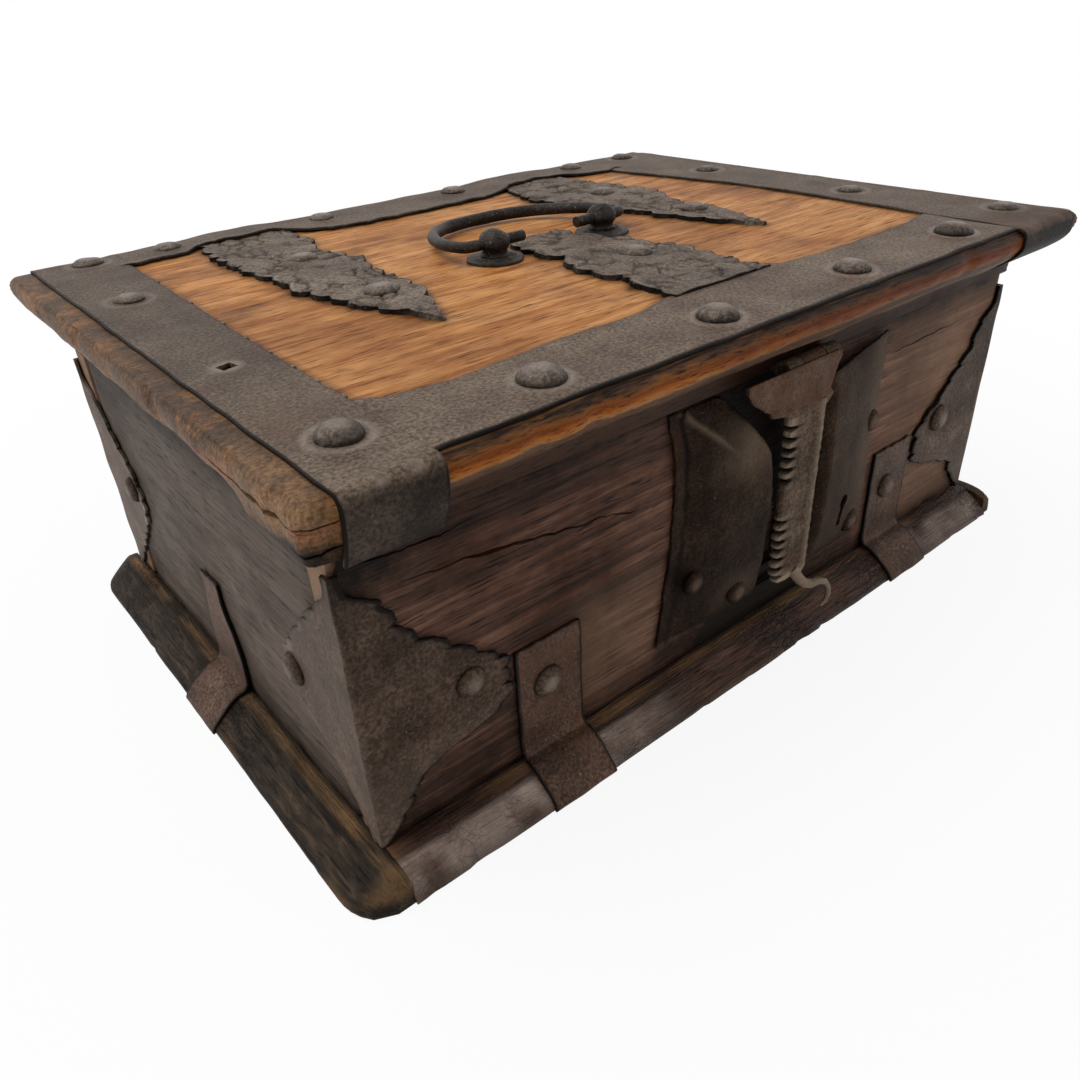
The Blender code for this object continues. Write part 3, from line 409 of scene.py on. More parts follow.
def bare_and_lit_wood(x, y, z):
    """Where wood is paler: bare end grain at the left, rubbed places on the front, and painted
    light towards the right end.
    """
    end = 0.8 * ease(x, 0.0016 - WALL_X, 0.0006 - WALL_X)
    knee = 0.26 * ease(abs(x + 0.085), 0.045, 0.015) * ease(abs(z - 0.050), 0.040, 0.015)
    # Paler towards the right end: painted light.
    return max(end, knee, 0.40 * ease(x, 0.080, 0.160))


front = board(
    "wall_front", (-WALL_X, -WALL_Y, WALL_FOOT), (WALL_X, -WALL_Y + WALL_THICK, WALL_TOP), 0
)
for width, depth, *path in (
    (1.3, 6, (-186, 126.2), (-167, 124.5), (-142, 121), (-116, 116.5), (-93, 112.7), (-66, 108)),
    (1.1, 4, (-205, 140), (-180, 137.5), (-150, 138.2)),
    (0.4, 2, (-160, 117), (-110, 111.5), (-80, 109)),
    (0.4, 2, (-132, 96), (-70, 90)),
    (0.8, 3, (104, 127), (150, 129), (178, 128)),
    (0.5, 2, (126, 83), (165, 86)),
    (0.6, 2, (-100, 33), (-66, 31)),
):
    line = [(x, -WALL_Y, z) for x, z in metres(*path)]
    cut(front, split(line, (0, 1, 0), width / 1000, depth / 1000))
case_low, case_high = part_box("lock_case")
cut_block(
    front,
    (0.0535, -WALL_Y + 0.0015, (case_low.z + case_high.z) / 2),
    (0.078, 0.0105, case_high.z - case_low.z + 0.0008),
)
staple_low, staple_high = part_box("hasp_staple")
staple = staple_low.lerp(staple_high, 0.5)
cut_block(front, (staple.x, -WALL_Y + 0.004, staple.z), (0.0076, 0.012, 0.0196))
mark(front, hollow=wall_shade_and_patches, rim=bare_and_lit_wood)
smooth(front, 50)
settle(front, "box", "dark_oak", front_oak, "front_board")
back = board("wall_back", (-WALL_X, WALL_Y - WALL_THICK, WALL_FOOT), (WALL_X, WALL_Y, WALL_TOP), 0)
SHALLOW = 0.003
for width, *path in ((0.7, (-160, 60), (-60, 62)), (0.9, (20, 101), (130, 99))):
    line = [(x, WALL_Y, z) for x, z in metres(*path)]
    cut(back, split(line, (0, -1, 0), width / 1000, SHALLOW))
mark(back, hollow=wall_shade_and_patches, rim=bare_and_lit_wood)
smooth(back, 50)
settle(back, "box", "dark_oak", front_oak, "back_board")


# Painted shade under the lid and towards the back; darker towards the foot.
def side_shade(x, y, z):
    return max(wall_shade_and_patches(0.1, 0.0, z), 0.42 * ease(y, 0.00, 0.115), 0.35 * ease(z, 0.070, 0.020))


for name, sign in (("left", -1), ("right", 1)):
    inner, outer = sorted((sign * (WALL_X - WALL_THICK), sign * WALL_X))
    depth = WALL_Y - WALL_THICK - 0.0003
    side = board("wall_" + name, (inner, -depth, WALL_FOOT), (outer, depth, WALL_TOP), 1)
    for path in (((-70, 108), (30, 110)), ((30, 44), (90, 46))):
        line = [(sign * WALL_X, y, z) for y, z in metres(*path)]
        cut(side, split(line, (-sign, 0, 0), 0.0005, SHALLOW))
    mark(side, hollow=side_shade)
    smooth(side, 50)
    settle(side, "box", "dark_oak", side_oak, name + "_board")
paint(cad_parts["bottom_board"], front_oak)

# Plinth. Four strips of oak with a flat ledge and a sloping face, nailed round the foot. The
# side strips run through, with a rounded front end, and the front one butts against them.
# Feet have blackened the faces, the varnish has crackled, and bare wood shows on the ledge.
# A pale sheen on the sloping faces of the front and back strips, towards their ends, is painted.
PLINTH_OUT = 0.0225
foot_tints = (("scuffed", "#c4afa1"), ("rim", "#8a6a48"), ("hollow", "#150f0c"))
plinth_oak = old_oak(
    "foot_worn_oak_plinth",
    "X",
    ((0.26, "#2b1a13"), (0.44, "#482f24"), (0.58, "#604234"), (0.80, "#8a6b59")),
    foot_tints,
    roughness=0.40,
    relief=1.0,
    crackle=0.8,
    figure=(40, 330),
    gloss=0.14,
)
plinth_side_oak = old_oak(
    "foot_worn_oak_plinth_sides",
    "Y",
    ((0.26, "#1c1612"), (0.44, "#2f2720"), (0.58, "#40352b"), (0.80, "#6b5843")),
    foot_tints,
    roughness=0.6,
    relief=1.0,
    crackle=0.8,
    figure=(60, 260),
)


def plinth_strip(name, along, face, sign, half, rounding):
    """One strip: a section as (outward, height) swept along a wall, worn, chipped and rounded."""
    section = metres(
        (0.3, 0.2), (0.3, 7), (0.3, 13.8), (3.5, 14), (7.2, 13.9), (9, 13), (11.2, 11.7),
        (13.6, 10.2), (16, 8.4), (18.5, 6.4), (20.8, 4.5), (22.1, 3), (22.5, 1.2), (21.8, 0.2),
        (12, 0.2),
    )
    count = round(2 * half / 0.004)
    rings = []
    for index in range(count + 1):
        run = half * (2 * index / count - 1)
        near = max(0.0, abs(run) - (half - rounding)) / rounding if rounding else 0.0
        turn = math.sqrt(max(0.0, 1 - near * near))
        ring = []
        for out, up in section:
            reach = out if out < 0.001 else out - rounding * 0.75 * (1 - turn) * out / PLINTH_OUT
            lump = 0.0006 * lumps(run, out * 2, 7 + face + sign, 0.024)
            chip = max(0.0, lumps(run, up, 3 + face - sign, 0.010) - 0.28)
            chip *= 0.0035 * ease(out, 0.005, 0.012)
            if out > 0.001:
                reach = max(0.0006, reach + lump - chip)
            rise = up * (1 - 0.25 * (1 - turn)) + (0.6 * lump - 0.5 * chip) * (up > 0.001)
            flat, rise = sign * (face + reach), max(0.0001, rise)
            ring.append((run, flat, rise) if along == 0 else (flat, run, rise))
        rings.append(ring)
    made = loft(name, rings)

    def ledge(x, y, z):
        out, run = abs((y, x)[along]) - face, (x, y)[along]
        worn = 0.30 + 0.9 * lumps(run, 4 + face + sign, 0, 0.030)
        if along == 1:
            worn += 0.40 * ease(run, -0.060, -0.120)
        else:
            worn += 0.50 * ease(abs(run + 0.070), 0.045, 0.030)
        top = ease(z, 0.0122, 0.0134) * ease(out, 0.0018, 0.0030) * ease(out, 0.0080, 0.0062)
        foot = ease(out, 0.0205, 0.0216) * ease(z, 0.0055, 0.0030)
        foot *= ease(lumps(run, 9, sign, 0.030), 0.0, 0.3)
        nose = ease(run, 0.012 - half, 0.004 - half) * ease(z, 0.0040, 0.0080) * (along == 1)
        return min(1.0, max(top * worn, 0.8 * foot, 0.5 * nose))

    def low_face(x, y, z):
        out, run = abs((y, x)[along]) - face, (x, y)[along]
        seam = max(0.0, 1 - abs(out - 0.0086) / 0.0016, 1 - out / 0.0030)
        seam *= ease(half - abs(run), 0.004, 0.014)
        return max(0.7 * ease(z, 0.0065, 0.002), 0.9 * seam)

    # A pale painted sheen on the sloping face of the front and back strips, towards their ends.
    def sheen_patches(x, y, z):
        out = abs(y) - face
        ends = max(ease(x, -0.040, -0.110), 0.7 * ease(x, 0.125, 0.160)) if along == 0 else 0.0
        return 0.85 * ends * ease(out, 0.0088, 0.0115) * ease(lumps(x, out, 5, 0.011), -0.7, 0.1)

    mark(made, rim=ledge, hollow=low_face, scuffed=sheen_patches)
    smooth(made, 55)
    return made


for name, along, face, sign, half, rounding, oak in (
    ("left", 1, WALL_X, -1, WALL_Y + PLINTH_OUT - 0.002, 0.019, plinth_side_oak),
    ("right", 1, WALL_X, 1, WALL_Y + PLINTH_OUT - 0.002, 0.019, plinth_side_oak),
    ("front", 0, WALL_Y, -1, WALL_X + 0.0004, 0.0, plinth_oak),
    ("back", 0, WALL_Y, 1, WALL_X + 0.0004, 0.0, plinth_oak),
):
    strip = plinth_strip("plinth_strip_" + name, along, face, sign, half, rounding)
    settle(strip, "box", "plinth_oak", oak, "plinth_" + name)

# Corner irons. Thin sheet folded round each corner, its two leaves cut to half a lozenge with
# a notched edge, dark with age and nailed to the oak.
IRON_SHEET = 0.0015


def forged_iron(
    name, tones, rust, rust_from=0.55, grit=0.5, roughness=0.58, metallic=0.35, pale="#a39488",
    gloss=0.12,
):
    """Hand-forged iron, dark with age: uneven patches, fine grit, pale specks and some rust.

    Patches are about 25 mm across and rust comes in clouds of 40 mm. Real grit is finer than
    1 mm, and is drawn at 1.2 to 2 mm so that it shows, as are specks where scale has flaked off.
    """
    material, tree, shader = start_material(name, roughness, metallic, gloss)
    spot = put(tree, "TexCoord", out="Object")
    patch = put(tree, "TexNoise", spot, Scale=42, Detail=8, Roughness=0.66)
    colour = put(tree, "ValToRGB", patch, stops=tones)
    fleck = put(tree, "TexNoise", spot, Scale=700, Detail=2, Roughness=0.6)
    fleck_tone = put(tree, "MapRange", fleck, 0.36, 0.66, 0.50, 1.45)
    colour = put(tree, "MixRGB", 1.0, colour, fleck_tone, blend_type="MULTIPLY")
    cloud = put(tree, "TexNoise", spot, Scale=25, Detail=9, Roughness=0.78)
    cloud_mask = put(tree, "MapRange", cloud, rust_from, rust_from + 0.16, 0.0, 0.7)
    colour = put(tree, "MixRGB", cloud_mask, colour, linear(rust))
    speck = put(tree, "TexNoise", spot, Scale=820, Detail=1)
    speck_mask = put(tree, "MapRange", speck, 0.68, 0.76, 0.0, 0.35)
    colour = put(tree, "MixRGB", speck_mask, colour, linear(pale))
    tints = (("rust", rust), ("rim", pale), ("hollow", "#120d0a"))
    tree.links.new(tinted(tree, colour, tints, cloud), shader.inputs["Base Color"])
    pit = put(tree, "TexNoise", spot, Scale=480, Detail=5, Roughness=0.65)
    bump = put(tree, "Bump", Strength=grit, Distance=0.0012, Height=pit)
    tree.links.new(bump, shader.inputs["Normal"])
    return material


def sheet(name, columns, rows, place, thickness, soft=0.0004):
    """Hammered sheet: a grid whose outer face is place(u, v), backed to a thickness.

    u and v run from -1 to 1. place gives x, y, z, how dark the spot is, mostly as painted
    shade, and, if it is paler there from wear and from painted light, how much.
    """
    pick()
    bpy.ops.mesh.primitive_grid_add(x_subdivisions=columns, y_subdivisions=rows, size=2)
    made = named(name)
    spots = [place(vert.co.x, vert.co.y) for vert in made.data.vertices]
    for vert, found in zip(made.data.vertices, spots):
        vert.co = found[:3]
    for column, mark_name in ((3, "hollow"), (4, "rim")):
        values = made.data.attributes.new(mark_name, "FLOAT", "POINT").data
        for value, found in zip(values, spots):
            value.value = found[column] if column < len(found) else 0.0
    apply_modifier(made, "SOLIDIFY", thickness=thickness, offset=-1.0)
    face_outward(made)
    if soft:
        sharp = math.radians(50)
        apply_modifier(
            made, "BEVEL", width=soft, segments=2, limit_method="ANGLE", angle_limit=sharp
        )
    smooth(made, 35)
    return made


def between(first, last, turn):
    """From first to last as turn goes from -1 to 1."""
    return first + (last - first) * (turn + 1) / 2


def at(table, place):
    """The value at a place, read off a table of (place, value) with rising places."""
    return float(np.interp(place, [row[0] for row in table], [row[1] for row in table]))


def lobes(run, pitch, depth, seed):
    """An edge cut into rounded lobes of uneven length, with sharp notches between them."""
    turn = run / pitch + 0.5 * lumps(run, seed, 0, pitch * 1.9)
    return depth * (abs(math.sin(math.pi * turn)) ** 0.55 - 0.7 + 0.3 * lumps(run, seed, 5, 0.004))


corner_finish = forged_iron(
    "blackened_corner_iron",
    ((0.28, "#2c211b"), (0.46, "#4a3a2f"), (0.60, "#5d4b3f"), (0.80, "#7a6757")),
    "#56402f",
    grit=0.8,
)
LONG_LEAF = metres(
    (15, 4), (23, 11.5), (29, 16.5), (38.5, 21), (40.5, 27), (46, 45), (50, 59), (55, 66),
    (72, 66), (88, 46.5), (96, 37.5), (101, 30.5), (108, 23.5), (123, 16.5), (128, 9.5),
    (131, 5), (139.5, 3.5),
)
SHORT_LEAF = metres(
    (15, 4), (30, 17), (45, 33), (60, 48), (70, 55.5), (80, 55.5), (95, 43), (110, 28),
    (125, 12), (131, 5), (139.5, 3.5),
)


def corner_iron(name, sx, sy, seed):
    low, high = LONG_LEAF[0][0], LONG_LEAF[-1][0]

    def place(u, v):
        z = between(low, high, v)
        reach = at(LONG_LEAF if u > 0 else SHORT_LEAF, z)
        notch = lobes(z, 0.0085, 0.0042, seed + (u > 0)) + lobes(z, 0.0036, 0.0016, seed + 3)
        notch *= ease(reach, 0.004, 0.020)
        run = abs(u) * max(0.003, reach + notch)
        stand = IRON_SHEET + 0.0004 + 0.0006 * lumps(run, z, seed, 0.018)
        lift = ease(abs(u), 0.80, 1.0) * max(0.0, lumps(z, seed, 9, 0.014))
        stand += 0.0014 * lift
        # Painted shadow along the notched edges, where the sheet stands off the oak; the front
        # irons also darken towards the top.
        dark = 1.9 * ease((1 - abs(u)) * reach, 0.0030, 0.0004)
        dark *= 0.75 + 0.5 * lumps(z, seed, 3, 0.006)
        dark += (0.38 * ease(z, 0.075, 0.100) + 0.3 * ease(z, 0.112, 0.132)) * (sy < 0)
        if u > 0:
            pale_share = 0.16 * ease(z, 0.060, 0.030)
            return (sx * (WALL_X + IRON_SHEET - run), sy * (WALL_Y + stand), z, dark, pale_share)
        pale_share = 0.18 + 0.8 * ease(abs(u), 0.88, 0.97) * ease(lumps(z, seed, 6, 0.010), 0.0, 0.3)
        return (sx * (WALL_X + stand), sy * (WALL_Y + IRON_SHEET - run), z, 0.4 * dark, pale_share)

    return sheet(name, 52, 150, place, IRON_SHEET if sx * sy > 0 else -IRON_SHEET)


for name, sx, sy, seed in (
    ("front_left", -1, -1, 0.3),
    ("front_right", 1, -1, 1.7),
    ("back_left", -1, 1, 3.1),
    ("back_right", 1, 1, 4.9),
):
    iron = corner_iron("corner_plate_" + name, sx, sy, seed)
    settle(iron, "box", "iron", corner_finish, "corner_iron_" + name)

# Base straps. Strips of iron nailed to the walls and bent out over the plinth, which they
# hold to the box. Their torn top edges lie on the oak; the left one is torn narrow.
strap_finish = forged_iron(
    "brown_strap_iron",
    ((0.28, "#33261f"), (0.46, "#4a382e"), (0.60, "#5b463a"), (0.80, "#7a6353")),
    "#5f3f2c",
    rust_from=0.50,
    grit=0.45,
    roughness=0.5,
)
STRAP_HALF = 0.0172
STRAP_PATH = metres(
    (2.2, 73), (2.3, 60), (2.1, 48), (2.2, 35), (2.2, 24), (2.5, 19), (4.5, 16.3), (8.5, 15.4),
    (11.8, 13.6), (16, 10.4), (20.2, 6.8), (22.9, 4), (24, 2), (23.8, 0.5),
)


def along_path(path, share):
    """The point a share of the way along a line of two-number points."""
    steps = [math.dist(a, b) for a, b in zip(path, path[1:])]
    lengths = np.concatenate(([0], np.cumsum(steps)))
    there = share * lengths[-1]
    return [float(np.interp(there, lengths, column)) for column in zip(*path)]


def base_strap(name, along, face, sign, middle, top_half, seed):
    def place(u, v):
        out, up = along_path(STRAP_PATH, (1 - v) / 2)
        half = STRAP_HALF - (STRAP_HALF - top_half) * ease(up, 0.036, 0.062)
        half += 0.0007 * lumps(up, out, seed, 0.010)
        side = middle + u * half
        torn = ease(v, 0.8, 1.0) * (0.0016 * lumps(u * half, seed, 2, 0.004) - 0.001)
        out += 0.0004 * lumps(side, up, seed, 0.012)
        flat = sign * (face + out)
        # Painted shadow along the strap's edges and its torn top.
        dark = 1.6 * ease(abs(u), 0.92, 1.0) + 0.6 * ease(v, 0.96, 1.0)
        return (side, flat, up + torn, dark) if along == 0 else (flat, side, up + torn, dark)

    turned_out = (sign < 0) if along == 0 else (sign > 0)
    return sheet(name, 18, 60, place, IRON_SHEET if turned_out else -IRON_SHEET)


for name, along, face, sign, middle, top_half in (
    ("front_left", 0, WALL_Y, -1, -0.1232, STRAP_HALF),
    ("front_right", 0, WALL_Y, -1, 0.1210, STRAP_HALF),
    ("back_left", 0, WALL_Y, 1, -0.122, STRAP_HALF),
    ("back_right", 0, WALL_Y, 1, 0.122, 0.0160),
    ("left", 1, WALL_X, -1, 0.0, 0.0095),
    ("right", 1, WALL_X, 1, 0.0, 0.0150),
):
    strap = base_strap("foot_strap_" + name, along, face, sign, middle, top_half, len(name) + sign)
    settle(strap, "box", "rusty_iron", strap_finish, "base_strap_" + name)

# Lock plate. One sheet raised into a cushion with a flat flange, split up the middle for the
# hasp. The left half swells towards the split and folds at its top corner, and the right one
# is pierced for the key.
LOCK_X = 0.024
PLATE_LOW, PLATE_HIGH = 0.030, 0.1455
plate_finish = forged_iron(
    "raised_lock_iron",
    ((0.28, "#1a110c"), (0.46, "#2e2018"), (0.60, "#402f24"), (0.80, "#64503f")),
    "#4a2f1f",
    grit=0.8,
    roughness=0.5,
    metallic=0.1,
    pale="#917b66",
    gloss=0.04,
)
FLANGE_EDGE = metres(
    (30, -60), (43, -58.5), (79, -53), (101, -51.2), (125, -52.5), (145.5, -56.5),
)
SLOT_EDGE = metres(
    (30, 6.6), (53, 6.6), (103, 7.2), (112, 4.5), (120, -1), (130, -10.5), (140, -21.5),
    (145.5, -29),
)
KEY_EDGE = metres((30, 94.5), (60, 92.5), (100, 91.5), (125, 93), (145.5, 95.5))


def plate_height(x, z):
    """How far the cushion's face stands off the wall."""
    up = (z - (PLATE_LOW + PLATE_HIGH) / 2) / (PLATE_HIGH - PLATE_LOW) * 2
    across = (x - LOCK_X) / (0.072 + 0.006 * up * up)
    swell = max(0.0, 1 - across * across) * max(0.0, 1 - 0.6 * up**6 - 0.4 * up * up)
    return 0.0019 + 0.0115 * swell**0.75


def plate_left(u, v):
    z = between(PLATE_LOW, PLATE_HIGH, v)
    left = at(FLANGE_EDGE, z) + 0.0010 * lumps(z, 2, 0, 0.008)
    right = at(SLOT_EDGE, z) + 0.0006 * lumps(z, 8, 0, 0.009)
    share = (u + 1) / 2
    x = left + (right - left) * share
    seam = left + 0.0062 + 0.0006 * lumps(z, 5, 0, 0.006)
    rise = ease(x, seam, seam + 0.010)
    high = 0.0020 + (plate_height(x, z) - 0.0020) * rise**0.6
    roll = ease(share, 0.84, 1.0)
    high -= (high - 0.0042) * roll**2.5
    fold = max(0.0, 1 - abs((x - seam) - (PLATE_HIGH - z) * 0.9) / 0.0034)
    fold *= ease(z, 0.112, 0.130)
    high += 0.0022 * fold
    high += 0.0008 * lumps(x, z, 4, 0.013) + 0.0004 * lumps(x, z, 4, 0.005)
    # Painted highlights on the crown and along the bottom edge. Painted shade darkens the whole
    # left half, more towards its foot, in the crease at the flange and where the cushion rolls into
    # the split. It is paler along the fold and round the low nail.
    crown_highlight = hump(x, -0.012, 0.014) * hump(z, 0.119, 0.013)
    nailed = hump(x, -0.014, 0.012) * hump(z, 0.047, 0.010)
    sill = ease(v, -0.955, -0.985)
    dark = 1.1 * max(0.0, 1 - abs(x - seam) / 0.0017) + 0.22
    dark += 0.30 * ease(z, 0.110, 0.075) + 0.7 * ease(share, 0.94, 1.0)
    pale_share = max(0.55 * crown_highlight, 0.7 * fold, 0.4 * nailed, 0.5 * sill)
    return (x, -WALL_Y - high, z, min(1.0, dark), pale_share)


def plate_right(u, v):
    rough_z = between(PLATE_LOW, PLATE_HIGH, v)
    left = LOCK_X + 0.0165
    right = at(KEY_EDGE, rough_z) + 0.0008 * lumps(rough_z, 6, 0, 0.010)
    share = (u + 1) / 2
    x = left + (right - left) * share
    top = 0.1360 + 0.0070 * share
    foot = 0.0345 - 0.0015 * math.sin(math.pi * share)
    z = foot + (top - foot) * (v + 1) / 2
    high = plate_height(x, z)
    high -= (high - 0.0040) * ease(share, 0.12, 0.0) ** 2
    high += 0.0006 * lumps(x, z, 11, 0.013)
    # Painted shade along the top, bottom and right edges, and painted light growing towards the
    # right side.
    dark = 0.5 * ease(v, 0.95, 1.0) + 0.6 * ease(v, -0.95, -1.0) + 0.5 * ease(share, 0.96, 1.0)
    return (x, -WALL_Y - high, z, dark + 0.05, 0.05 + 0.22 * ease(share, 0.5, 0.95))


def plate_sill(u, v):
    """The plate's narrow foot below the split, which ties its halves together."""
    # Painted shade at the foot of the split, under the hasp.
    stand, dark = between(0.0020, 0.0032, v), 0.7
    return (LOCK_X + u * 0.0185, -WALL_Y - stand, between(PLATE_LOW, PLATE_LOW + 0.003, v), dark)


halves = [
    sheet("plate_left", 64, 90, plate_left, IRON_SHEET),
    sheet("plate_right", 50, 80, plate_right, IRON_SHEET),
    sheet("plate_sill", 10, 3, plate_sill, IRON_SHEET),
]
KEY_X, KEY_Z = 0.066, 0.062
CUT_Y = -WALL_Y - 0.01
KEYHOLE = {"location": (KEY_X, CUT_Y, KEY_Z), "rotation": (math.pi / 2, 0, 0)}
bpy.ops.mesh.primitive_cylinder_add(vertices=24, radius=0.0036, depth=0.04, **KEYHOLE)
cut(halves[1], bpy.context.object)
lean = (0, math.radians(5), 0)
cut_block(halves[1], (KEY_X - 0.0006, CUT_Y, KEY_Z - 0.007), (0.0036, 0.04, 0.0150), lean)
plate = join("lock_plate_raised", halves)
smooth(plate, 40)
settle(plate, "box", "iron", plate_finish, "lock_plate")

# Lock works and pins. Plain filed iron, out of sight behind the plate and in the knuckles;
# their solids are right as they are and only get the finish.
filed_iron = forged_iron(
    "filed_iron",
    ((0.28, "#2b2622"), (0.46, "#3f3832"), (0.60, "#4f4740"), (0.80, "#6a6057")),
    "#4b392c",
    grit=0.25,
    roughness=0.5,
    metallic=0.4,
)
for name in (
    "lock_case", "lock_bolt", "bolt_keeper", "bolt_spring", "key_post", "hinge_pin_left",
    "hinge_pin_right", "hasp_pin", "hasp_staple",
):
    paint(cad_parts[name], filed_iron)

# Lid. One thick oak board, its grain along the front, with the same moulding worked on all
# four edges. Its top is waxed and warm, with painted shadow along the irons that lie on it; the
# nose is rubbed to amber at the front, and the end grain at the front left is bare and split.
LID_LOW, LID_HIGH = 0.148, 0.180
LID_OVER_X, LID_OVER_Y = 0.0155, 0.027
MOULDING = (
    (0.12, 0.1480), (0.125, 0.1512), (0.15, 0.1544), (0.20, 0.1557), (0.28, 0.1570), (0.44, 0.1594),
    (0.60, 0.1621), (0.74, 0.1648), (0.85, 0.1672), (0.93, 0.1697), (0.98, 0.1720), (1.00, 0.1742),
    (1.00, 0.1762), (0.97, 0.1778), (0.93, 0.1788), (0.88, 0.1796), (0.82, 0.1800),
)
LEFT_INNER = metres((-160, -177), (-50, -176.5), (0, -175), (100, -172), (160, -169))
RIGHT_INNER = metres((-160, 162), (-26, 169), (17, 168), (64, 160.5), (108, 152.5), (160, 153))
FRONT_INNER = metres(
    (-178, -105.5), (-168, -114), (-156, -116.5), (-132, -118), (-81, -114), (-51, -116),
    (-32, -109), (35, -107), (40, -112.5), (80, -115), (140, -113), (166, -107),
)
BACK_INNER = metres(
    (-178, 128), (-147, 128), (-126, 137.5), (-110, 135), (-86, 137.5), (-73, 123), (-53, 115.5),
    (-26, 114), (16, 114), (50, 116), (75, 127), (97, 132), (120, 125), (140, 117), (166, 119),
)
LEFT_LEAF = (
    metres(
        (-61, -109.2), (-45, -115), (-30, -121.5), (-14, -127), (0, -130), (18, -134.5),
        (37, -132), (62, -136), (104, -137), (139, -131),
    ),
    metres(
        (-61, -108.2), (-28, -94.5), (-19, -92), (-1, -91), (12, -92), (31, -89), (47, -84),
        (62, -89), (78, -92), (101, -83.5), (139, -81.5),
    ),
)
RIGHT_LEAF = (
    metres(
        (-58.5, 96.2), (-37, 83.5), (-14, 78), (-2, 73.5), (7, 74.5), (18, 70), (45, 64),
        (70, 56), (87, 55), (110, 62), (137, 66),
    ),
    metres(
        (-58.5, 97.8), (-48, 100.5), (-36, 102.5), (-13, 108), (17, 106), (30, 113), (44, 119.5),
        (67, 116.5), (96, 112.5), (137, 116),
    ),
)
CENTRE_LEAF = (
    metres(
        (-112, -26), (-104, -27.5), (-92, -25.5), (-88, -29.5), (-81, -22), (-72, -25.5),
        (-54, -27.5), (-44, -27), (-32, -18.5), (-18, -22.5), (0, -22), (12, -18.5),
    ),
    metres(
        (-112, 33), (-104, 33), (-82, 31), (-65, 32), (-55, 34), (-40, 27), (-28, 27.5),
        (-15, 21.5), (-2, 17), (12, 13),
    ),
)


def gap_to_irons(x, y):
    """How far a point of the lid's top is from the nearest iron, below 0 under one."""
    gap = min(x - at(LEFT_INNER, y), at(RIGHT_INNER, y) - x)
    gap = min(gap, y - at(FRONT_INNER, x), at(BACK_INNER, x) - y)
    for left, right in (LEFT_LEAF, RIGHT_LEAF, CENTRE_LEAF):
        side = max(at(left, y) - x, x - at(right, y))
        end = max(left[0][0] - y, y - left[-1][0], 0.0)
        gap = min(gap, side if end == 0 else math.hypot(end, max(side, 0.0)))
    return gap


def lid_reach(x, y):
    """How far out on the overhang a point is, as shares of it at the ends and at the front."""
    return (abs(x) - WALL_X) / LID_OVER_X, (abs(y) - WALL_Y) / LID_OVER_Y


def underside(x, y, z):
    """True on the lid's plain underside, inside its lower arris."""
    return z < 0.150 and abs(x) < 0.2080 and abs(y) < 0.1377


LOST_NAIL = (-0.194, -0.049)


def lid_shade_and_smudges(x, y, z):
    """Black in the lost nail's hole; painted shadow along the irons and just under the straps'
    edge; painted shade in the moulding's hollow and below; smudges near the irons.
    """
    if math.dist((x, y), LOST_NAIL) < 0.006:
        return 1.0
    # Painted shade on the underside.
    if underside(x, y, z):
        return 0.35
    # Painted shade in the moulding's hollow, at the bottom of the front and under the chipped front
    # left corner, and a painted shadow just under the straps' edge.
    if z < LID_HIGH - 0.0003:
        if lid_front(x, y, z) > 0.5 and y < 0:
            return 0.5 * ease(z, 0.1560, 0.1545)
        lift = 0.0055 * ease(y, -0.140, -0.150) * (x < -0.205)
        return max(0.5 * ease(z, 0.1782, 0.1795), 1.1 * ease(z - lift, 0.1630, 0.1605))
    if lid_reach(x, y)[0] > 0.30 or lid_reach(x, y)[1] > 0.86:
        return 0.25
    # Painted shadow along the irons' edges, and smudges near them.
    gap = max(0.0, gap_to_irons(x, y))
    smudge = 0.55 * ease(lumps(x, y, 0, 0.026), -0.1, 0.5) * ease(y, -0.105, -0.080)
    return max(0.85 * hump(gap, 0, 0.0032), smudge * hump(gap, 0, 0.020))


def lid_ends(x, y, z):
    """Where the moulding shows end grain: at both ends, and round the front left corner."""
    side, front = lid_reach(x, y)
    flat = 0.0 if underside(x, y, z) else max(ease(side, 0.22, 0.34), z < 0.172)
    return 0.95 * (side >= front or x < -0.2105) * flat


def lit_lip(x, y, z):
    """Where the hollow under the front nose is painted pale as light, towards the right."""
    lip = ease(z, 0.1674, 0.1656) * ease(z, 0.1570, 0.1600)
    return 0.45 * lip * ease(x, -0.060, 0.030) * (y < 0)


def lid_front(x, y, z):
    """Where the moulding shows long grain: along the front and the back."""
    side, front = lid_reach(x, y)
    flat = 0.0 if underside(x, y, z) else max(ease(front, 0.80, 0.86), z < 0.1790)
    return (front > side and x > -0.2105) * flat * (1 - lit_lip(x, y, z))


def lid_amber(x, y, z):
    """Where the front moulding has been rubbed to bright wood, most of all at its left."""
    front = (0.30 + 0.75 * ease(x, 0.010, -0.090)) * (y < 0) * (1 + 0.4 * lumps(x, 3, 0, 0.03))
    chunk = 0.8 * ease(y, -0.150, -0.156) * ease(z, 0.1672, 0.1684) * ease(z, 0.1730, 0.1720)
    patch = 0.5 * hump(y, -0.098, 0.018) * ease(z, 0.176, 0.172)
    if underside(x, y, z):
        return 0.0
    return max(chunk, patch) * (x < 0) if lid_ends(x, y, z) > 0.5 else front


def lid_bare_and_lit(x, y, z):
    """Where the front left corner is rubbed bare, with painted highlights on the ends' arris and on
    the lit lip.
    """
    arris = 0.35 * hump(z, 0.1690, 0.0012) * (lid_ends(x, y, z) > 0.5)
    bare = 0.55 * ease(x, -0.2110, -0.2130) * ease(y, -0.095, -0.135) * ease(z, 0.1640, 0.1680)
    return max(arris, bare * (0.8 + 0.7 * lumps(x, y, z, 0.006)), 2 * lit_lip(x, y, z))


